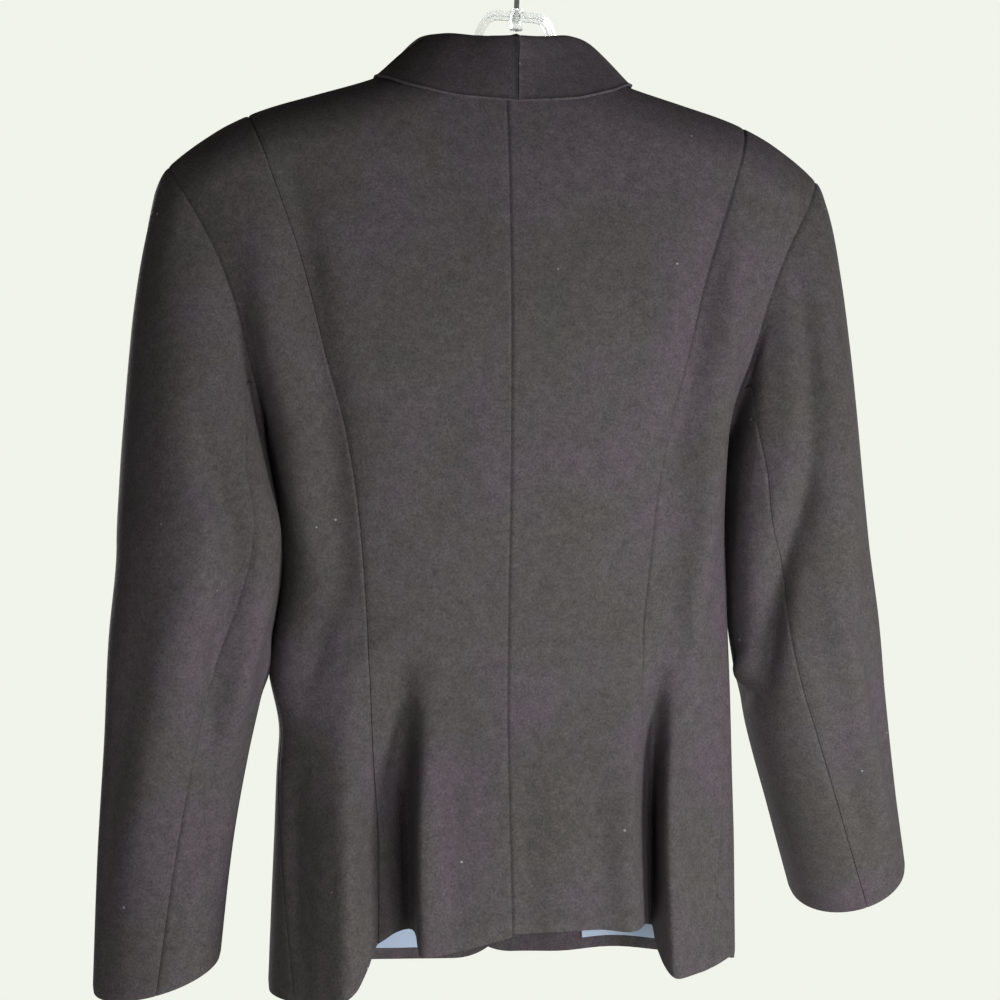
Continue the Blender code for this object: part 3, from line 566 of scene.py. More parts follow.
def neck_edge(side, s):
    """The edge that the collar stands on, round the neck and down the roll, with the body's normals."""
    u, t = NECK_U * np.clip(s, 0, 1), np.zeros_like(s)
    back = partial(back_point, side)
    drop = ridge(NECK_X) + (BREAK_POINT - ridge(NECK_X)) * np.clip(s - 1, 0, 1)
    row, front = edge_share(side, drop), partial(front_point, side)
    behind = (s < 1)[:, None]
    points = np.where(behind, back(u, t), front(t, row))
    return points, np.where(behind, normals_of(back, u, t, -side), normals_of(front, t, row, side))


def lies_on(side, face, x, drop, clear):
    """A point that lies clear of the body's outside, at a distance from the centre line and a drop."""
    surface = partial(on_body, side, face)
    sine = np.clip(x / half_width(side, drop), -SINE_MOST, SINE_MOST)
    normals = normals_of(surface, sine, drop, -side * face, SINE_RANGE, DROP_RANGE)
    return surface(sine, drop) + normals * clear


def collar_grid(side, s, shares):
    """Points of a half of the collar, along the neck: up the stand, over the roll and down the fall."""
    at = {n: COLLAR.read(n, s) for n in COLLAR.columns}
    slip = COLLAR_SLIP * (1 - ramp(s, *COLLAR_SLIP_FADE[SIDE_NAMES[side]]))
    at["edge_x"] = at["edge_x"] - side * slip
    edge, outward = neck_edge(side, s)
    ahead = neck_edge(side, s + COLLAR_STEP)[0] - neck_edge(side, np.maximum(s - COLLAR_STEP, 0))[0]
    ahead[0] = (side, 0, 0)
    across = square_to(-side * np.cross(unit(ahead), outward), outward)
    lean = np.radians(at["lean"])[:, None]
    roll = edge + at["stand"][:, None] * (across * np.cos(lean) + outward * np.sin(lean))
    roll[:, 0] -= slip
    base = edge - outward * at["base_in"][:, None] + across * at["base_past"][:, None]
    laid = ramp(s, *COLLAR_LAID)[:, None]
    edge_at = at["edge_x"], at["edge_drop"], COLLAR_CLEAR
    on_back, on_front = (lies_on(side, face, *edge_at) for face in (BACK, FRONT))
    fall = np.where((s <= 1)[:, None], on_back, on_front)
    fold = unit(roll - (base + fall) / 2)
    open_way = square_to(fall - base, fold)
    radius = ROLL_RADIUS[0] + (ROLL_RADIUS[1] - ROLL_RADIUS[0]) * laid
    inner, outer = (roll - fold * radius + open_way * radius * way for way in (-1, 1))
    middle = []
    for share in FALL_SHARES:
        straight = outer + (fall - outer) * share
        x = side * edge[:, 0] + (at["edge_x"] - side * edge[:, 0]) * share
        drop = edge[:, 2] + (at["edge_drop"] - edge[:, 2]) * share
        middle.append(straight * (1 - laid) + lies_on(side, FRONT, x, drop, COLLAR_CLEAR) * laid)
    knots = np.stack([base, (base + inner) / 2, inner, roll, outer, *middle, fall], axis=1)
    return through(knots, shares * (knots.shape[1] - 1))


def through(knots, at):
    """Smooth curves through rows of knots, read at places counted in knots."""
    last = knots.shape[1] - 1
    i = np.clip(at.astype(int), 0, last - 1)
    q = (at - i)[None, :, None]
    a, b, c, d = (knots[:, np.clip(i + step, 0, last)] for step in (-1, 0, 1, 2))
    return 0.5 * (2 * b + (c - a) * q + (2 * a - 5 * b + 4 * c - d) * q**2 + (3 * b - a - 3 * c + d) * q**3)


# Fine grids of the shells, and how much closer their columns lie towards both edges
CENTRE_FINE = 56
SIDE_FINE = 52
FRONT_FINE = 72
LINING_FINE = 44
BODY_ROWS_FINE = 150
CAP_ROWS_FINE = 36
CAP_ROWS_POWER = 1.4
SLEEVE_ROWS_FINE = 84
TOP_SLEEVE_FINE = 76
UNDER_SLEEVE_FINE = 46
COLLAR_ALONG_FINE = 120
COLLAR_ACROSS_FINE = 64
BODY_EASED = 0.85
SLEEVE_EASED = 0.7
FACING_SHARE = {"left": 2 / 12, "right": 3 / 12}
CLOTH_SHARP = math.radians(50)

# Seams: how far the cloth dips at one, and how wide the dip is
SEAM_WIDE = 1.5
PROUD_DIP = 0.35
TUCKED_DIP = 1.15
ARMHOLE_DIP = 0.9
CAP_TUCK = (0.9, 0.8)
SHOULDER_DIP = 0.6
HEM_DIP = 0.6
EDGE_DIP = 0.7
SHELL_GAP = 0.12
SLEEVE_SEAM_STARTS = 0.05

# Seam allowance: how far it runs past the seam and under the next piece, and its share at the armhole, which
# grows to the whole over some rows below it
ALLOWANCE = (1.4, 0.9)
ARMHOLE_ALLOWANCE = 0.12
ALLOWANCE_GROWS = (ARM_SHARE, ARM_SHARE + 0.05)

# How far the edge of the collar's fall settles in onto the back, and the shares across and along it
COLLAR_IN = 1.2
COLLAR_IN_ACROSS = (0.7, 1.0)
COLLAR_IN_FADES = (0.6, 0.9)
# How far it settles down, and the share of that at the centre back, which grows to the whole at the shoulder
COLLAR_DOWN = 5.0
COLLAR_DOWN_ACROSS = (0.6, 1.0)
COLLAR_DOWN_CENTRE = 0.5
COLLAR_DOWN_GROWS = (0.1, 0.9)
COLLAR_DOWN_FADES = (1.1, 1.4)

# How far the hem sags in the right fold, how wide the sag is as a share of the panel, and the rows it is in
FOLD_SAG = 8.0
FOLD_SAG_WIDE = 0.04
FOLD_SAG_ROWS = (0.85, 1.0)

# Creases, each along a line from one place to another: across is the distance from the centre on the body,
# and degrees round from the outer edge on a sleeve
CREASE_COLUMNS = "across0 drop0 across1 drop1 half_width out"
CREASES = {
    "back": Table(
        CREASE_COLUMNS,
        (150, 60, 112, 290, 13, -6.5),
        (172, 110, 128, 360, 12, 6.0),
        (120, 250, 108, 380, 10, -2.4),
        (-150, 70, -108, 310, 11, -6.0),
        (-164, 90, -126, 420, 11, 7.5),
        (-126, 330, -140, 460, 8, 3.2),
        (112, 330, 138, 430, 8, -2.0),
        (60, 372, 112, 408, 8, 1.6),
        (52, 398, 100, 424, 7, -1.4),
        (-52, 380, -104, 402, 8, 1.5),
        (-44, 408, -98, 428, 7, -1.4),
        (20, 410, 66, 430, 9, -1.0),
        (78, 60, 20, 130, 18, -1.6),
        (-84, 62, -22, 140, 18, -1.6),
        (-70, 100, -96, 240, 20, -1.8),
        (34, 190, 60, 330, 20, -1.4),
        (-10, 450, -16, 640, 11, -2.2),
        (28, 480, 24, 640, 12, 1.8),
        (-62, 470, -70, 640, 14, -2.8),
        (142, 450, 150, 640, 8, -3.6),
        (126, 500, 130, 640, 6, 1.6),
        (-150, 480, -156, 640, 7, -2.6),
        (84, 470, 82, 640, 5, 2.2),
    ),
    "front": Table(
        CREASE_COLUMNS,
        (120, 120, 150, 300, 14, -3.4),
        (136, 180, 140, 500, 18, 6.0),
        (-122, 126, -150, 310, 14, -3.2),
        (40, 410, 120, 385, 9, 1.8),
        (-36, 414, -118, 392, 9, 1.6),
        (-30, 330, -84, 300, 8, -1.6),
        (66, 470, 70, 640, 12, -2.4),
        (-126, 450, -132, 640, 12, -2.4),
    ),
    "sleeve_right": Table(
        CREASE_COLUMNS,
        (118, 130, 134, 380, 14, 4.0),
        (66, 110, 86, 350, 12, -8.0),
        (80, 270, 138, 440, 12, -10.0),
        (40, 140, 54, 430, 16, 6.0),
        (128, 395, 170, 420, 8, 4.6),
        (140, 425, 185, 436, 8, -4.6),
        (64, 330, 50, 560, 12, 6.5),
        (38, 380, 28, 540, 13, -3.4),
        (84, 450, 74, 560, 10, -2.6),
    ),
    "sleeve_left": Table(
        CREASE_COLUMNS,
        (128, 220, 114, 500, 14, 6.5),
        (84, 220, 104, 500, 14, -9.0),
        (100, 390, 128, 540, 11, -7.0),
        (172, 180, 168, 500, 14, 4.0),
        (140, 380, 170, 420, 9, 3.0),
        (64, 300, 58, 560, 18, 3.0),
        (30, 330, 26, 600, 16, -2.4),
        (118, 520, 104, 620, 11, 3.0),
    ),
}

# Where creases begin and end, by share of their length, and the shares of a panel in which they fade at edges
CREASE_BEGINS = (-0.1, 0.35)
CREASE_ENDS = (0.65, 1.1)
FADE_AT_SIDE = 0.12
FADE_AT_SHOULDER = 0.06
FADE_AT_CAP = 0.14

# Buttons: drop and lift of each, how far it stands clear, and its turned profile as radii and heights
BUTTON_PLACES = ((318.0, 0.3), (384.0, 0.6), (450.0, 1.4))
BUTTON_CLEAR = 0.2
BUTTON_PROFILE = (
    (0.0, 0.0), (7.6, 0.0), (9.0, 0.5), (9.8, 1.3), (10.0, 2.0), (9.7, 2.9), (9.1, 3.45), (8.4, 3.6),
    (7.7, 3.4), (7.0, 2.9), (6.3, 2.62), (4.6, 2.55), (0.0, 2.5),
)
BUTTON_SIDES = 56
BUTTON_SHARP = math.radians(40)

# Thread that crosses a button: half its spread, half the gap of a pair, and shares of the spread at heights
THREAD_RADIUS = 0.32
THREAD_FINE = 3
THREAD_SPREAD = 1.7
THREAD_APART = 0.35
THREAD_STEPS = ((-1, 1.0, 2.3), (-1, 0.6, 3.0), (1, 0.6, 3.0), (1, 1.0, 2.3))

# Hook: its wire, the bend from its start to its tip, and its neck from the foot up, as x and z
HOOK_INNER_RADIUS = 21.0
WIRE_RADIUS = 2.0
WIRE_FINE = 6
HOOK_BEND = (math.radians(228), math.radians(-25))
HOOK_BEND_FINE = 60
HOOK_NECK = ((0, -86), (0, -72), (0, -58), (-2.5, -50.5), (-8, -44.5))
HOOK_NECK_FINE = 40

# Colours
WOOL_OLIVE = (0.0368, 0.0346, 0.0325)
WOOL_PURPLE = (0.0425, 0.0350, 0.0402)
LINT = (0.15, 0.14, 0.145, 1.0)
LINING_BLUES = ((0.18, 0.225, 0.30), (0.22, 0.265, 0.345))
FLOOR_TONES = ((0.80, 0.81, 0.78), (0.83, 0.84, 0.81))
WORLD_COLOUR = (0.93, 0.95, 0.87, 1.0)

# Camera: what it looks at, how far off and how far round from straight behind, and its focal length in
# pixels of a square picture
AIM = (0.0155, 0.0, -0.423)
CAMERA_FAR = 1.38
CAMERA_ROUND = math.radians(7.5)
FOCAL_PIXELS = 1950
PICTURE_PIXELS = 1000
SENSOR = 36.0
CLIP = (0.02, 50.0)

# Floor, and the light that falls on it alone
FLOOR_Z = -1.32
FLOOR_RADIUS = 1.7
FLOOR_SIDES = 96
WASH_SIZE = 3.2
WASH_POWER = 11.0
WASH_ABOVE = 0.4

# Soft lights that face what the camera looks at, and the strength of the pale surroundings, as light on the
# blazer and as the picture's background
LIGHTS = Table(
    "name spot size power",
    ("key", (-0.95, 1.02, -0.64), (0.36, 0.46), 30.0),
    ("fill", (-0.16, 0.86, -0.74), (0.26, 0.26), 6.2),
    ("left_fill", (1.0, 1.2, -0.6), (0.5, 0.5), 4.0),
    ("front_key", (0.5, -1.15, -0.3), (0.5, 0.6), 24.0),
    ("front_fill", (-1.4, -1.5, 0.0), (1.2, 1.2), 8.0),
)
WORLD_LIGHT = 0.15
WORLD_SEEN = 0.95


def eased(count, ends):
    """Shares from 0 to 1 that lie closer together towards both ends."""
    share = np.linspace(0, 1, count)
    return share - ends * np.sin(2 * np.pi * share) / (2 * np.pi)


def fine_rows():
    rows = body_rows()
    return np.interp(np.linspace(0, 1, BODY_ROWS_FINE), np.linspace(0, 1, len(rows)), rows)


def creases(name, across, drop):
    """How far the creases on a face or a sleeve, which run along straight lines, move its cloth out."""
    moved = np.zeros_like(across)
    for crease in CREASES[name].rows:
        way = np.array([crease["across1"] - crease["across0"], crease["drop1"] - crease["drop0"]], float)
        length = np.hypot(*way)
        way = way / length
        a, b = across - crease["across0"], drop - crease["drop0"]
        along, off = (a * way[0] + b * way[1]) / length, a * way[1] - b * way[0]
        fade = ramp(along, *CREASE_BEGINS) * (1 - ramp(along, *CREASE_ENDS))
        moved = moved + crease["out"] * np.exp(-((off / crease["half_width"]) ** 2)) * fade
    return moved


def body_relief(face, points, u, t):
    """Creases of the back or the front, fading at the armhole, the side seam and the shoulder."""
    out = creases(FACE_NAMES[face], points[..., 0], points[..., 2])
    return out * ramp(1 - u, 0.0, FADE_AT_SIDE) * ramp(t, 0.0, FADE_AT_SHOULDER)


def sleeve_relief(side, angle, drop, v):
    """Creases of a sleeve, fading at the armhole."""
    return creases(f"sleeve_{SIDE_NAMES[side]}", angle, drop) * ramp(v + CAP_SHARE, 0.0, FADE_AT_CAP)


def armhole_normals(side, angle):
    """The body's outward normals round the armhole."""
    on_back, edge, t = armhole_rows(angle)
    behind = normals_of(partial(back_point, side), edge, t, -side)
    return np.where(on_back, behind, normals_of(partial(front_point, side), edge, t, side))


def lengths(points, axis):
    """Distance along the cloth from the first row or column."""
    steps = np.linalg.norm(np.diff(points, axis=axis), axis=-1)
    start = np.zeros_like(np.take(steps, [0], axis))
    return np.concatenate([start, np.cumsum(steps, axis=axis)], axis=axis)


def dip(points, **edges):
    """How far in the cloth goes near its named edges."""
    gone = np.zeros(points.shape[:2])
    for edge, deep in edges.items():
        axis = 1 if edge.endswith("column") else 0
        far = lengths(points, axis)
        if edge.startswith("last"):
            far = np.take(far, [-1], axis) - far
        gone = np.maximum(gone, deep * np.exp(-((far / SEAM_WIDE) ** 2)))
    return gone


def closer(points, **edges):
    """The grid with its named edges drawn in along the cloth by half a seam's gap."""
    points = points.copy()
    places = {
        "first_column": ((slice(None), 0), (slice(None), 1)),
        "last_column": ((slice(None), -1), (slice(None), -2)),
        "first_row": (0, 1),
    }
    for edge, gap in edges.items():
        rim, inner = places[edge]
        points[rim] = points[rim] + gap / 2 * unit(points[inner] - points[rim])
    return points


def tuck_under(points, normals, last=False, share=1.0):
    """The grid with one more column, a seam allowance that runs on under the next piece."""
    edge, inner = (-1, -2) if last else (0, 1)
    way = unit(points[:, edge] - points[:, inner])
    past = points[:, edge] + share * (ALLOWANCE[0] * way - ALLOWANCE[1] * normals[:, edge])
    grids = [points, past[:, None]], [normals, normals[:, edge][:, None]]
    return [np.concatenate(grid if last else grid[::-1], axis=1) for grid in grids]


def in_scene(name, data):
    made = bpy.data.objects.new(name, data)
    bpy.context.scene.collection.objects.link(made)
    return made


def show(name, data, material):
    """An object with one material that rides the part's only body."""
    data.materials.append(material)
    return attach(in_scene(name, data), "root")


def finished(mesh, data, sharp):
    """Write a mesh with its faces turned outwards, smooth apart from its sharp edges."""
    bmesh.ops.recalc_face_normals(mesh, faces=mesh.faces)
    mesh.to_mesh(data)
    mesh.free()
    data.shade_smooth()
    data.set_sharp_from_angle(angle=sharp)


def shell(name, points, normals, thick, offset):
    """A closed shell of cloth with its length and width in metres as its texture coordinates."""
    rows, columns = points.shape[:2]
    layers = [place(points - normals * (offset + deep)).reshape(-1, 3) for deep in (0.0, thick)]
    cell = np.arange(rows * columns).reshape(rows, columns)
    faces = np.stack([cell[:-1, :-1], cell[:-1, 1:], cell[1:, 1:], cell[1:, :-1]], axis=-1).reshape(-1, 4)
    rim = np.concatenate([cell[0, :-1], cell[:-1, -1], cell[-1, :0:-1], cell[:0:-1, 0]])
    size = rows * columns
    edge = np.stack([rim, np.roll(rim, -1), np.roll(rim, -1) + size, rim + size], axis=-1)
    faces = np.concatenate([faces, faces + size, edge])
    data = bpy.data.meshes.new(name)
    data.from_pydata(np.concatenate(layers).tolist(), [], faces.tolist())
    mesh = bmesh.new()
    mesh.from_mesh(data)
    finished(mesh, data, CLOTH_SHARP)
    spread = np.stack([lengths(points, 1), lengths(points, 0)], axis=-1).reshape(-1, 2) * MM
    spread = np.concatenate([spread, spread])
    layer = data.uv_layers.new(name="cloth")
    corner = np.zeros(len(data.loops), np.int32)
    data.loops.foreach_get("vertex_index", corner)
    layer.data.foreach_set("uv", spread[corner].ravel())
    return data


def cloth_piece(kind, side, points, normals, material, thick=CLOTH, offset=0.0):
    """Show a shell of cloth in place of its solid, on the part's only body."""
    side_name = SIDE_NAMES[side]
    name = f"{kind}_{side_name}"
    made = show(f"{name}_cloth", shell(f"{name}_cloth", points, normals, thick, offset), material)
    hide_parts(name)


def back_cloth(kind, side, first, last, count, material):
    """A centre back half or a side back. A seam is proud on the piece that laps over, tucked on the other."""
    u, t = np.meshgrid(first + (last - first) * eased(count, BODY_EASED), fine_rows())
    surface = partial(back_point, side)
    points, normals = surface(u, t), normals_of(surface, u, t, -side)
    under = kind == "side_back" or side == RIGHT
    dips = {"first_column": TUCKED_DIP if under else PROUD_DIP, "last_column": PROUD_DIP}
    seams = dip(points, **dips, first_row=SHOULDER_DIP, last_row=HEM_DIP)
    relief = body_relief(BACK, points, u, t) - seams
    if side == RIGHT:
        in_fold = np.exp(-(((u - PRINCESS_U) / FOLD_SAG_WIDE) ** 2))
        points[..., 2] += FOLD_SAG * in_fold * ramp(t, *FOLD_SAG_ROWS)
    points = closer(points, first_column=SHELL_GAP, last_column=SHELL_GAP, first_row=SHELL_GAP)
    points = points + normals * relief[..., None]
    if under:
        points, normals = tuck_under(points, normals)
    cloth_piece(kind, side, points, normals, material)


def front_cloth(side, material):
    u, t = np.meshgrid(eased(FRONT_FINE, BODY_EASED), fine_rows())
    surface = partial(front_point, side)
    points, normals = surface(u, t), normals_of(surface, u, t, side)
    dips = {"first_column": EDGE_DIP, "last_column": TUCKED_DIP}
    seams = dip(points, **dips, first_row=SHOULDER_DIP, last_row=HEM_DIP)
    relief = body_relief(FRONT, points, u, t) - seams
    points = closer(points, last_column=SHELL_GAP, first_row=SHELL_GAP) + normals * relief[..., None]
    share = ARMHOLE_ALLOWANCE + (1 - ARMHOLE_ALLOWANCE) * ramp(t[:, -1:], *ALLOWANCE_GROWS)
    points, normals = tuck_under(points, normals, True, share)
    cloth_piece("front", side, points, normals, material)


def lining_cloth(side, material):
    """The lining of a front, which follows the front's creases."""
    below_arm = hem_drop(side, FRONT, LINING_HEM_U) - UNDERARM
    ends = body_rows()[LINING_TOP_ROW], 1 - (1 - ARM_SHARE) * LINING_ABOVE_HEM / below_arm
    inside = fine_rows()
    inside = inside[(inside > ends[0]) & (inside < ends[1])]
    columns = np.linspace(FACING_SHARE[SIDE_NAMES[side]], LINING_SHORT_OF_SIDE, LINING_FINE)
    u, t = np.meshgrid(columns, np.concatenate([ends[:1], inside, ends[1:]]))
    surface = partial(front_point, side)
    points, normals = surface(u, t), normals_of(surface, u, t, side)
    points = points + normals * body_relief(FRONT, points, u, t)[..., None]
    cloth_piece("lining", side, points, normals, material, LINING, CLOTH + LAYER_GAP)


def sleeve_cloth(side, top, material):
    """The upper or the under piece of a sleeve, with its cap tucked in under the armhole's edge."""
    cap = CAP_SHARE * (np.linspace(0, 1, CAP_ROWS_FINE, endpoint=False) ** CAP_ROWS_POWER - 1)
    v = np.concatenate([cap, np.linspace(0, 1, SLEEVE_ROWS_FINE)])
    back = SLEEVE_SEAMS.read("back_seam", v)
    front = SLEEVE_SEAMS.read("front_seam", v)
    first, last = (front - 360, back) if top else (back, front)
    share = eased(TOP_SLEEVE_FINE if top else UNDER_SLEEVE_FINE, SLEEVE_EASED)
    if top:
        share = np.unique(np.append(share, -first[0] / (last[0] - first[0])))
    angle = first[:, None] + (last - first)[:, None] * share[None, :]
    rows = np.repeat(v[:, None], len(share), axis=1)
    surface = partial(sleeve_point, side)
    points = surface(angle, rows)
    normals = normals_of(surface, angle, rows, side, (-360.0, 360.0), (-CAP_SHARE, 1.0))
    seam_dip = PROUD_DIP if top else TUCKED_DIP
    seams = dip(points, first_column=seam_dip, last_column=seam_dip, last_row=HEM_DIP)
    seams = seams * ramp(rows + CAP_SHARE, 0.0, SLEEVE_SEAM_STARTS)
    relief = sleeve_relief(side, angle, points[..., 2], rows) - seams
    hole = armhole_normals(side, angle)
    points = closer(points, first_column=SHELL_GAP, last_column=SHELL_GAP)
    points = points - dip(points, first_row=ARMHOLE_DIP)[..., None] * hole + normals * relief[..., None]
    under = points[:1] + CAP_TUCK[0] * unit(points[:1] - points[1:2]) - CAP_TUCK[1] * hole[:1]
    points, normals = np.concatenate([under, points]), np.concatenate([normals[:1], normals])
    if not top:
        for at_last in (False, True):
            points, normals = tuck_under(points, normals, at_last)
    cloth_piece("sleeve_top" if top else "sleeve_under", side, points, normals, material)


def collar_cloth(side, material):
    """A half of the collar, with its fall settled onto the back and the shoulder."""
    fallen = np.linspace(0, 1, COLLAR_ACROSS_FINE)
    s = np.linspace(0, COLLAR_END[SIDE_NAMES[side]], COLLAR_ALONG_FINE)
    points = collar_grid(side, s, fallen)
    s = s[:, None]
    along, over = np.gradient(points, axis=0), np.gradient(points, axis=1)
    normals = unit(np.cross(along, over)) * side
    normals[0, :, 0] = 0
    normals = unit(normals)
    seams = dip(points, first_row=EDGE_DIP, last_column=EDGE_DIP, last_row=EDGE_DIP)
    settled = COLLAR_IN * ramp(fallen, *COLLAR_IN_ACROSS) * (1 - ramp(s, *COLLAR_IN_FADES))
    points = closer(points, first_row=COLLAR_GAP / 2) - normals * (seams + settled)[..., None]
    lower = COLLAR_DOWN_CENTRE + (1 - COLLAR_DOWN_CENTRE) * ramp(s, *COLLAR_DOWN_GROWS)
    lower = lower * (1 - ramp(s, *COLLAR_DOWN_FADES))
    points[..., 2] += COLLAR_DOWN * ramp(fallen, *COLLAR_DOWN_ACROSS) * lower
    cloth_piece("collar", side, points, normals, material, COLLAR_CLOTH)


def round_bars(name, paths, radius, fineness, material, caps=False):
    """Round bars along lines of points, which are in metres, as one object."""
    curve = bpy.data.curves.new(name, "CURVE")
    curve.dimensions = "3D"
    curve.bevel_depth = radius * MM
    curve.bevel_resolution = fineness
    curve.use_fill_caps = caps
    for path in paths:
        line = curve.splines.new("POLY")
        line.points.add(len(path) - 1)
        for knot, spot in zip(line.points, path):
            knot.co = (*spot, 1.0)
    return show(name, curve, material)


def sewn_button(number, drop, lift, material, thread):
    """A turned button with a rolled rim, sewn on through its middle."""
    surface = partial(on_body, RIGHT, FRONT)
    where = [np.array(0.0), np.array(drop)]
    out = normals_of(surface, *where, RIGHT, SINE_RANGE, DROP_RANGE)
    spot = surface(*where) + out * (lift + BUTTON_CLEAR)
    across = np.array([1.0, 0.0, 0.0])
    down = np.cross(out, across)
    mesh = bmesh.new()
    rings = []
    for radius, height in BUTTON_PROFILE:
        turns = np.linspace(0, 2 * math.pi, BUTTON_SIDES, endpoint=False) if radius else (0.0,)
        ring = [spot + out * height + radius * (across * math.cos(a) + down * math.sin(a)) for a in turns]
        rings.append([mesh.verts.new(place(point)) for point in ring])
    for low, high in zip(rings, rings[1:]):
        for i in range(BUTTON_SIDES):
            lower = low[i % len(low)], low[(i + 1) % len(low)]
            upper = high[(i + 1) % len(high)], high[i % len(high)]
            mesh.faces.new(dict.fromkeys(lower + upper))
    data = bpy.data.meshes.new(f"button_{number}_turned")
    finished(mesh, data, BUTTON_SHARP)
    made = show(f"button_{number}_turned", data, material)
    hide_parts(f"button_{number}")
    paths = []
    for way in (1, -1):
        for apart in (-THREAD_APART, THREAD_APART):
            ends = {s: across * s * THREAD_SPREAD + down * (s * way * THREAD_SPREAD + apart) for s in (-1, 1)}
            path = [ends[s] * share + out * height for s, share, height in THREAD_STEPS]
            paths.append([place(spot + step) for step in path])
    sewn = round_bars(f"button_{number}_thread", paths, THREAD_RADIUS, THREAD_FINE, thread)


def hook_wire(material):
    """The wire hook as a smooth round bar on its solid's line, tilted as the hanger is."""
    radius = HOOK_INNER_RADIUS + WIRE_RADIUS
    turns = np.linspace(*HOOK_BEND, HOOK_BEND_FINE)
    arc = np.stack([radius * np.cos(turns), radius * np.sin(turns) - HOOK_INNER_RADIUS], axis=-1)
    knots = np.array([*HOOK_NECK, arc[0]])
    neck = through(knots[None], np.linspace(0, len(knots) - 1, HOOK_NECK_FINE))[0]
    x, z = (np.concatenate([neck, arc[1:]]) * MM).T
    cosine, sine = math.cos(HANGER_TILT), math.sin(HANGER_TILT)
    path = np.stack([x * cosine - z * sine, np.zeros_like(x), x * sine + z * cosine], axis=-1)
    made = round_bars("hook_wire", [path], WIRE_RADIUS, WIRE_FINE, material, caps=True)
    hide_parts("hanger_hook")


class Nodes:
    """A small helper that adds shader nodes to a material or a world and joins them."""

    MIX_FACTOR, MIX_FIRST, MIX_SECOND = 0, 6, 7
    MIX_RESULT = 2

    def __init__(self, owner, shader="Principled BSDF"):
        owner.use_nodes = True
        self.owner, self.tree = owner, owner.node_tree
        self.shader = self.tree.nodes[shader]

    def feed(self, socket, value):
        """Join an output to a socket, or set the socket to a plain value."""
        if hasattr(value, "is_linked"):
            self.tree.links.new(value, socket)
        else:
            socket.default_value = value

    def add(self, kind, **settings):
        node = self.tree.nodes.new(kind)
        for key, value in settings.items():
            if key in node.inputs:
                self.feed(node.inputs[key], value)
            else:
                setattr(node, key, value)
        return node

    def texture(self, kind, space, **settings):
        places = self.add("ShaderNodeTexCoord")
        return self.add(kind, Vector=places.outputs[space], **settings).outputs

    def noise(self, **settings):
        return self.texture("ShaderNodeTexNoise", "Object", **settings)["Fac"]

    def ramp(self, source, low, high, at=(0.3, 0.7)):
        """From one colour, or grey given as a number, to another as the source rises."""
        node = self.add("ShaderNodeValToRGB", Fac=source)
        for element, position, colour in zip(node.color_ramp.elements, at, (low, high)):
            element.position = position
            element.color = (*np.broadcast_to(colour, 3), 1.0)
        return node.outputs["Color"]

    def mix(self, factor, first, second, blend="MIX"):
        node = self.add("ShaderNodeMix", data_type="RGBA", blend_type=blend)
        self.feed(node.inputs[self.MIX_FACTOR], factor)
        self.feed(node.inputs[self.MIX_FIRST], first)
        self.feed(node.inputs[self.MIX_SECOND], second)
        return node.outputs[self.MIX_RESULT]

    def times(self, first, second):
        return self.mix(1.0, first, second, "MULTIPLY")

    def bump(self, height, **settings):
        return self.add("ShaderNodeBump", Height=height, **settings).outputs["Normal"]

    def wear(self, inputs):
        """Give the shader its named inputs."""
        for name, value in inputs.items():
            self.feed(self.shader.inputs[name], value)
        return self.owner


def wool():
    """Charcoal wool suiting: purple and olive drifts, a mottle, a fine grain and a little lint."""
    made = Nodes(bpy.data.materials.new("suiting"))
    drift = made.noise(Scale=11.0, Detail=3.0, Roughness=0.6)
    mottle = made.noise(Scale=130.0, Detail=4.0, Roughness=0.65)
    grain = made.noise(Scale=620.0, Detail=4.0, Roughness=0.8)
    lint = made.texture("ShaderNodeTexVoronoi", "Object", Scale=42.0)
    base = made.ramp(drift, WOOL_OLIVE, WOOL_PURPLE, (0.38, 0.62))
    base = made.times(base, made.ramp(mottle, 0.82, 1.14))
    base = made.times(base, made.ramp(grain, 0.6, 1.42))
    speck = made.ramp(lint["Distance"], 1.0, 0.0, (0.03, 0.05))
    kept = made.ramp(lint["Color"], 0.0, 1.0, (0.55, 0.6))
    surface = {
        "Base Color": made.mix(made.times(speck, kept), base, LINT),
        "Roughness": made.ramp(mottle, 0.84, 0.96),
        "Normal": made.bump(grain, Strength=0.4, Distance=0.0006),
        "Sheen Weight": 0.02,
        "Sheen Roughness": 0.5,
        "Sheen Tint": (0.8, 0.78, 0.8, 1.0),
        "Specular IOR Level": 0.06,
    }
    return made.wear(surface)


def satin():
    """Pale blue lining: a slight drift of tone and fine lengthwise threads."""
    made = Nodes(bpy.data.materials.new("lining"))
    drift = made.noise(Scale=14.0, Detail=2.0)
    bands = {"wave_type": "BANDS", "bands_direction": "X", "Scale": 900.0, "Distortion": 2.0}
    threads = made.texture("ShaderNodeTexWave", "UV", **bands)["Fac"]
    base = made.ramp(drift, *LINING_BLUES)
    surface = {
        "Base Color": made.times(base, made.ramp(threads, 0.94, 1.04, (0.0, 1.0))),
        "Roughness": made.ramp(drift, 0.36, 0.46),
        "Normal": made.bump(threads, Strength=0.12, Distance=0.0003),
        "Sheen Weight": 0.15,
    }
    return made.wear(surface)


def moulded(name, colour, rough, fine, **more):
    """Plastic or wire: a plain colour with a faint cloud in it and fine handling marks in its gloss."""
    made = Nodes(bpy.data.materials.new(name))
    cloud = made.noise(Scale=60.0, Detail=2.0)
    marks = made.noise(Scale=fine, Detail=4.0, Roughness=0.65)
    dark, light = (tuple(c * k for c in colour) for k in (0.93, 1.0))
    surface = {
        "Base Color": made.ramp(cloud, dark, light),
        "Roughness": made.ramp(marks, rough * 0.75, rough * 1.35, (0.35, 0.7)),
        **more,
    }
    return made.wear(surface)


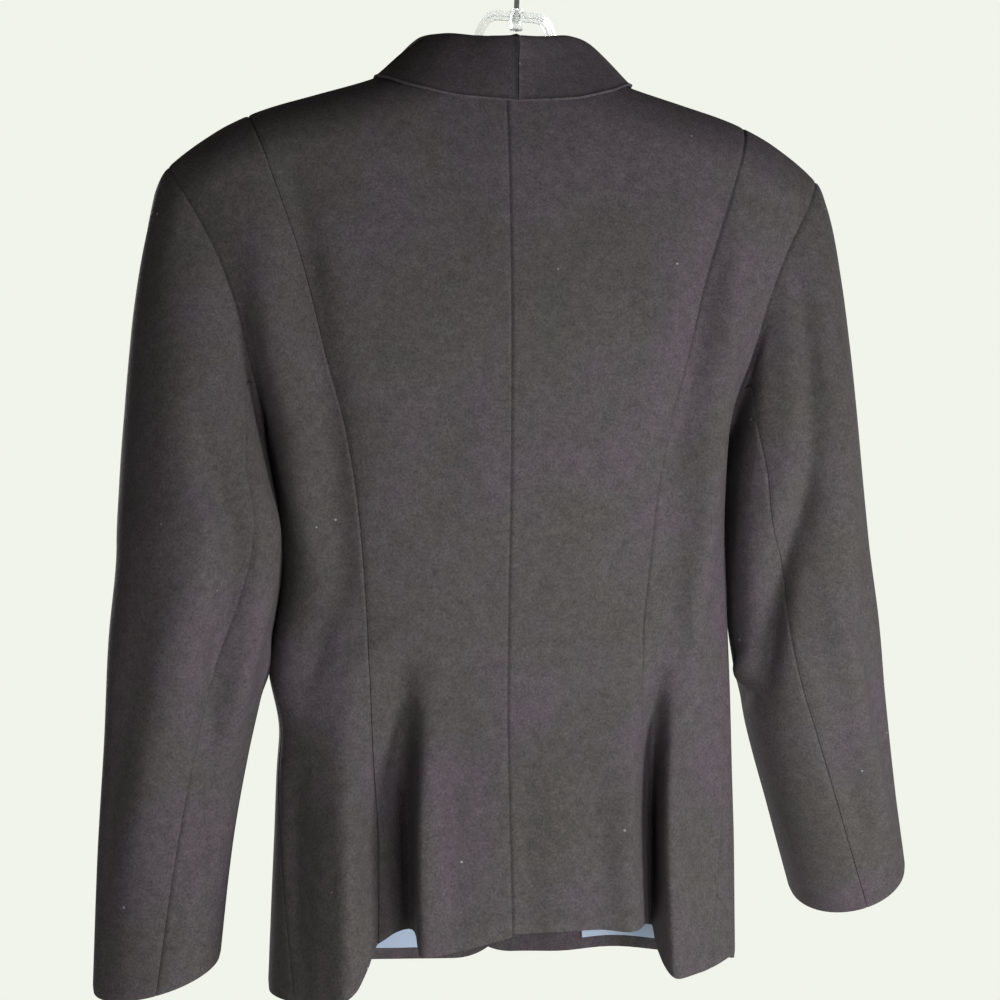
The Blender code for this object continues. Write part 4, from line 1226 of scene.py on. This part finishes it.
def clear_plastic():
    through_it = {"Transmission Weight": 0.92, "IOR": 1.46}
    return moulded("clear_plastic", (0.93, 0.95, 0.95), 0.16, 260.0, **through_it)


def bright_wire():
    return moulded("bright_wire", (0.72, 0.73, 0.75), 0.2, 420.0, Metallic=1.0)


def dark_plastic():
    coat = {"Coat Weight": 0.3, "Coat Roughness": 0.2}
    return moulded("black_plastic", (0.022, 0.021, 0.022), 0.3, 500.0, **coat)


def floor_paint():
    made = Nodes(bpy.data.materials.new("floor_paint"))
    base = made.ramp(made.noise(Scale=1.5, Detail=2.0), *FLOOR_TONES)
    return made.wear({"Base Color": base, "Roughness": 0.9})


def floor():
    mesh = bmesh.new()
    bmesh.ops.create_circle(mesh, cap_ends=True, segments=FLOOR_SIDES, radius=FLOOR_RADIUS)
    data = bpy.data.meshes.new("floor")
    mesh.to_mesh(data)
    mesh.free()
    data.materials.append(floor_paint())
    made = in_scene("floor", data)
    made.location.z = FLOOR_Z


def surroundings():
    """A pale world, dimmer as a light than it looks straight or through the clear hanger."""
    made = Nodes(bpy.data.worlds.new("studio"), "Background")
    rays = made.add("ShaderNodeLightPath").outputs
    straight = made.add("ShaderNodeMath", operation="MAXIMUM")
    for socket, ray in zip(straight.inputs, ("Is Camera Ray", "Is Transmission Ray")):
        made.feed(socket, rays[ray])
    span = {"Value": straight.outputs["Value"], "To Min": WORLD_LIGHT, "To Max": WORLD_SEEN}
    strength = made.add("ShaderNodeMapRange", **span).outputs["Result"]
    bpy.context.scene.world = made.wear({"Color": WORLD_COLOUR, "Strength": strength})


def area_light(name, shape, size, power, spot):
    lamp = bpy.data.lights.new(name, "AREA")
    lamp.shape = shape
    lamp.size, lamp.size_y = size
    lamp.energy = power
    made = in_scene(name, lamp)
    made.location = spot
    return made


def lights():
    """Soft lights round the blazer, and a wash from just above the floor down onto it."""
    for light in LIGHTS.rows:
        made = area_light(light["name"], "RECTANGLE", light["size"], light["power"], light["spot"])
        x, y, z = np.array(AIM) - np.array(light["spot"])
        made.rotation_euler = (math.atan2(math.hypot(x, y), -z), 0.0, math.atan2(y, x) - math.pi / 2)
    area_light("floor_wash", "DISK", (WASH_SIZE, WASH_SIZE), WASH_POWER, (0.0, 0.0, FLOOR_Z + WASH_ABOVE))


def camera():
    lens = bpy.data.cameras.new("camera")
    lens.sensor_width = SENSOR
    lens.lens = FOCAL_PIXELS / PICTURE_PIXELS * SENSOR
    lens.clip_start, lens.clip_end = CLIP
    made = in_scene("camera", lens)
    off = np.array([math.sin(CAMERA_ROUND), math.cos(CAMERA_ROUND), 0.0]) * CAMERA_FAR
    made.location = np.array(AIM) + off
    made.rotation_euler = (math.pi / 2, 0.0, math.pi - CAMERA_ROUND)
    bpy.context.scene.camera = made
    bpy.context.scene.view_settings.view_transform = "Standard"


for old in list(bpy.data.objects):
    bpy.data.objects.remove(old)
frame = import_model()

suiting, blue_satin = wool(), satin()
black, clear, bright = dark_plastic(), clear_plastic(), bright_wire()

for side in (LEFT, RIGHT):
    back_cloth("back", side, 0.0, PRINCESS_U, CENTRE_FINE, suiting)
    back_cloth("side_back", side, PRINCESS_U, 1.0, SIDE_FINE, suiting)
    front_cloth(side, suiting)
    lining_cloth(side, blue_satin)
    sleeve_cloth(side, True, suiting)
    sleeve_cloth(side, False, suiting)
    collar_cloth(side, suiting)
for number, (drop, lift) in enumerate(BUTTON_PLACES, 1):
    sewn_button(number, drop, lift, black, suiting)
hook_wire(bright)
hanger = frame["nodes"]["hanger_body"]
hanger.data.materials.clear()
hanger.data.materials.append(clear)

floor()
surroundings()
lights()
camera()
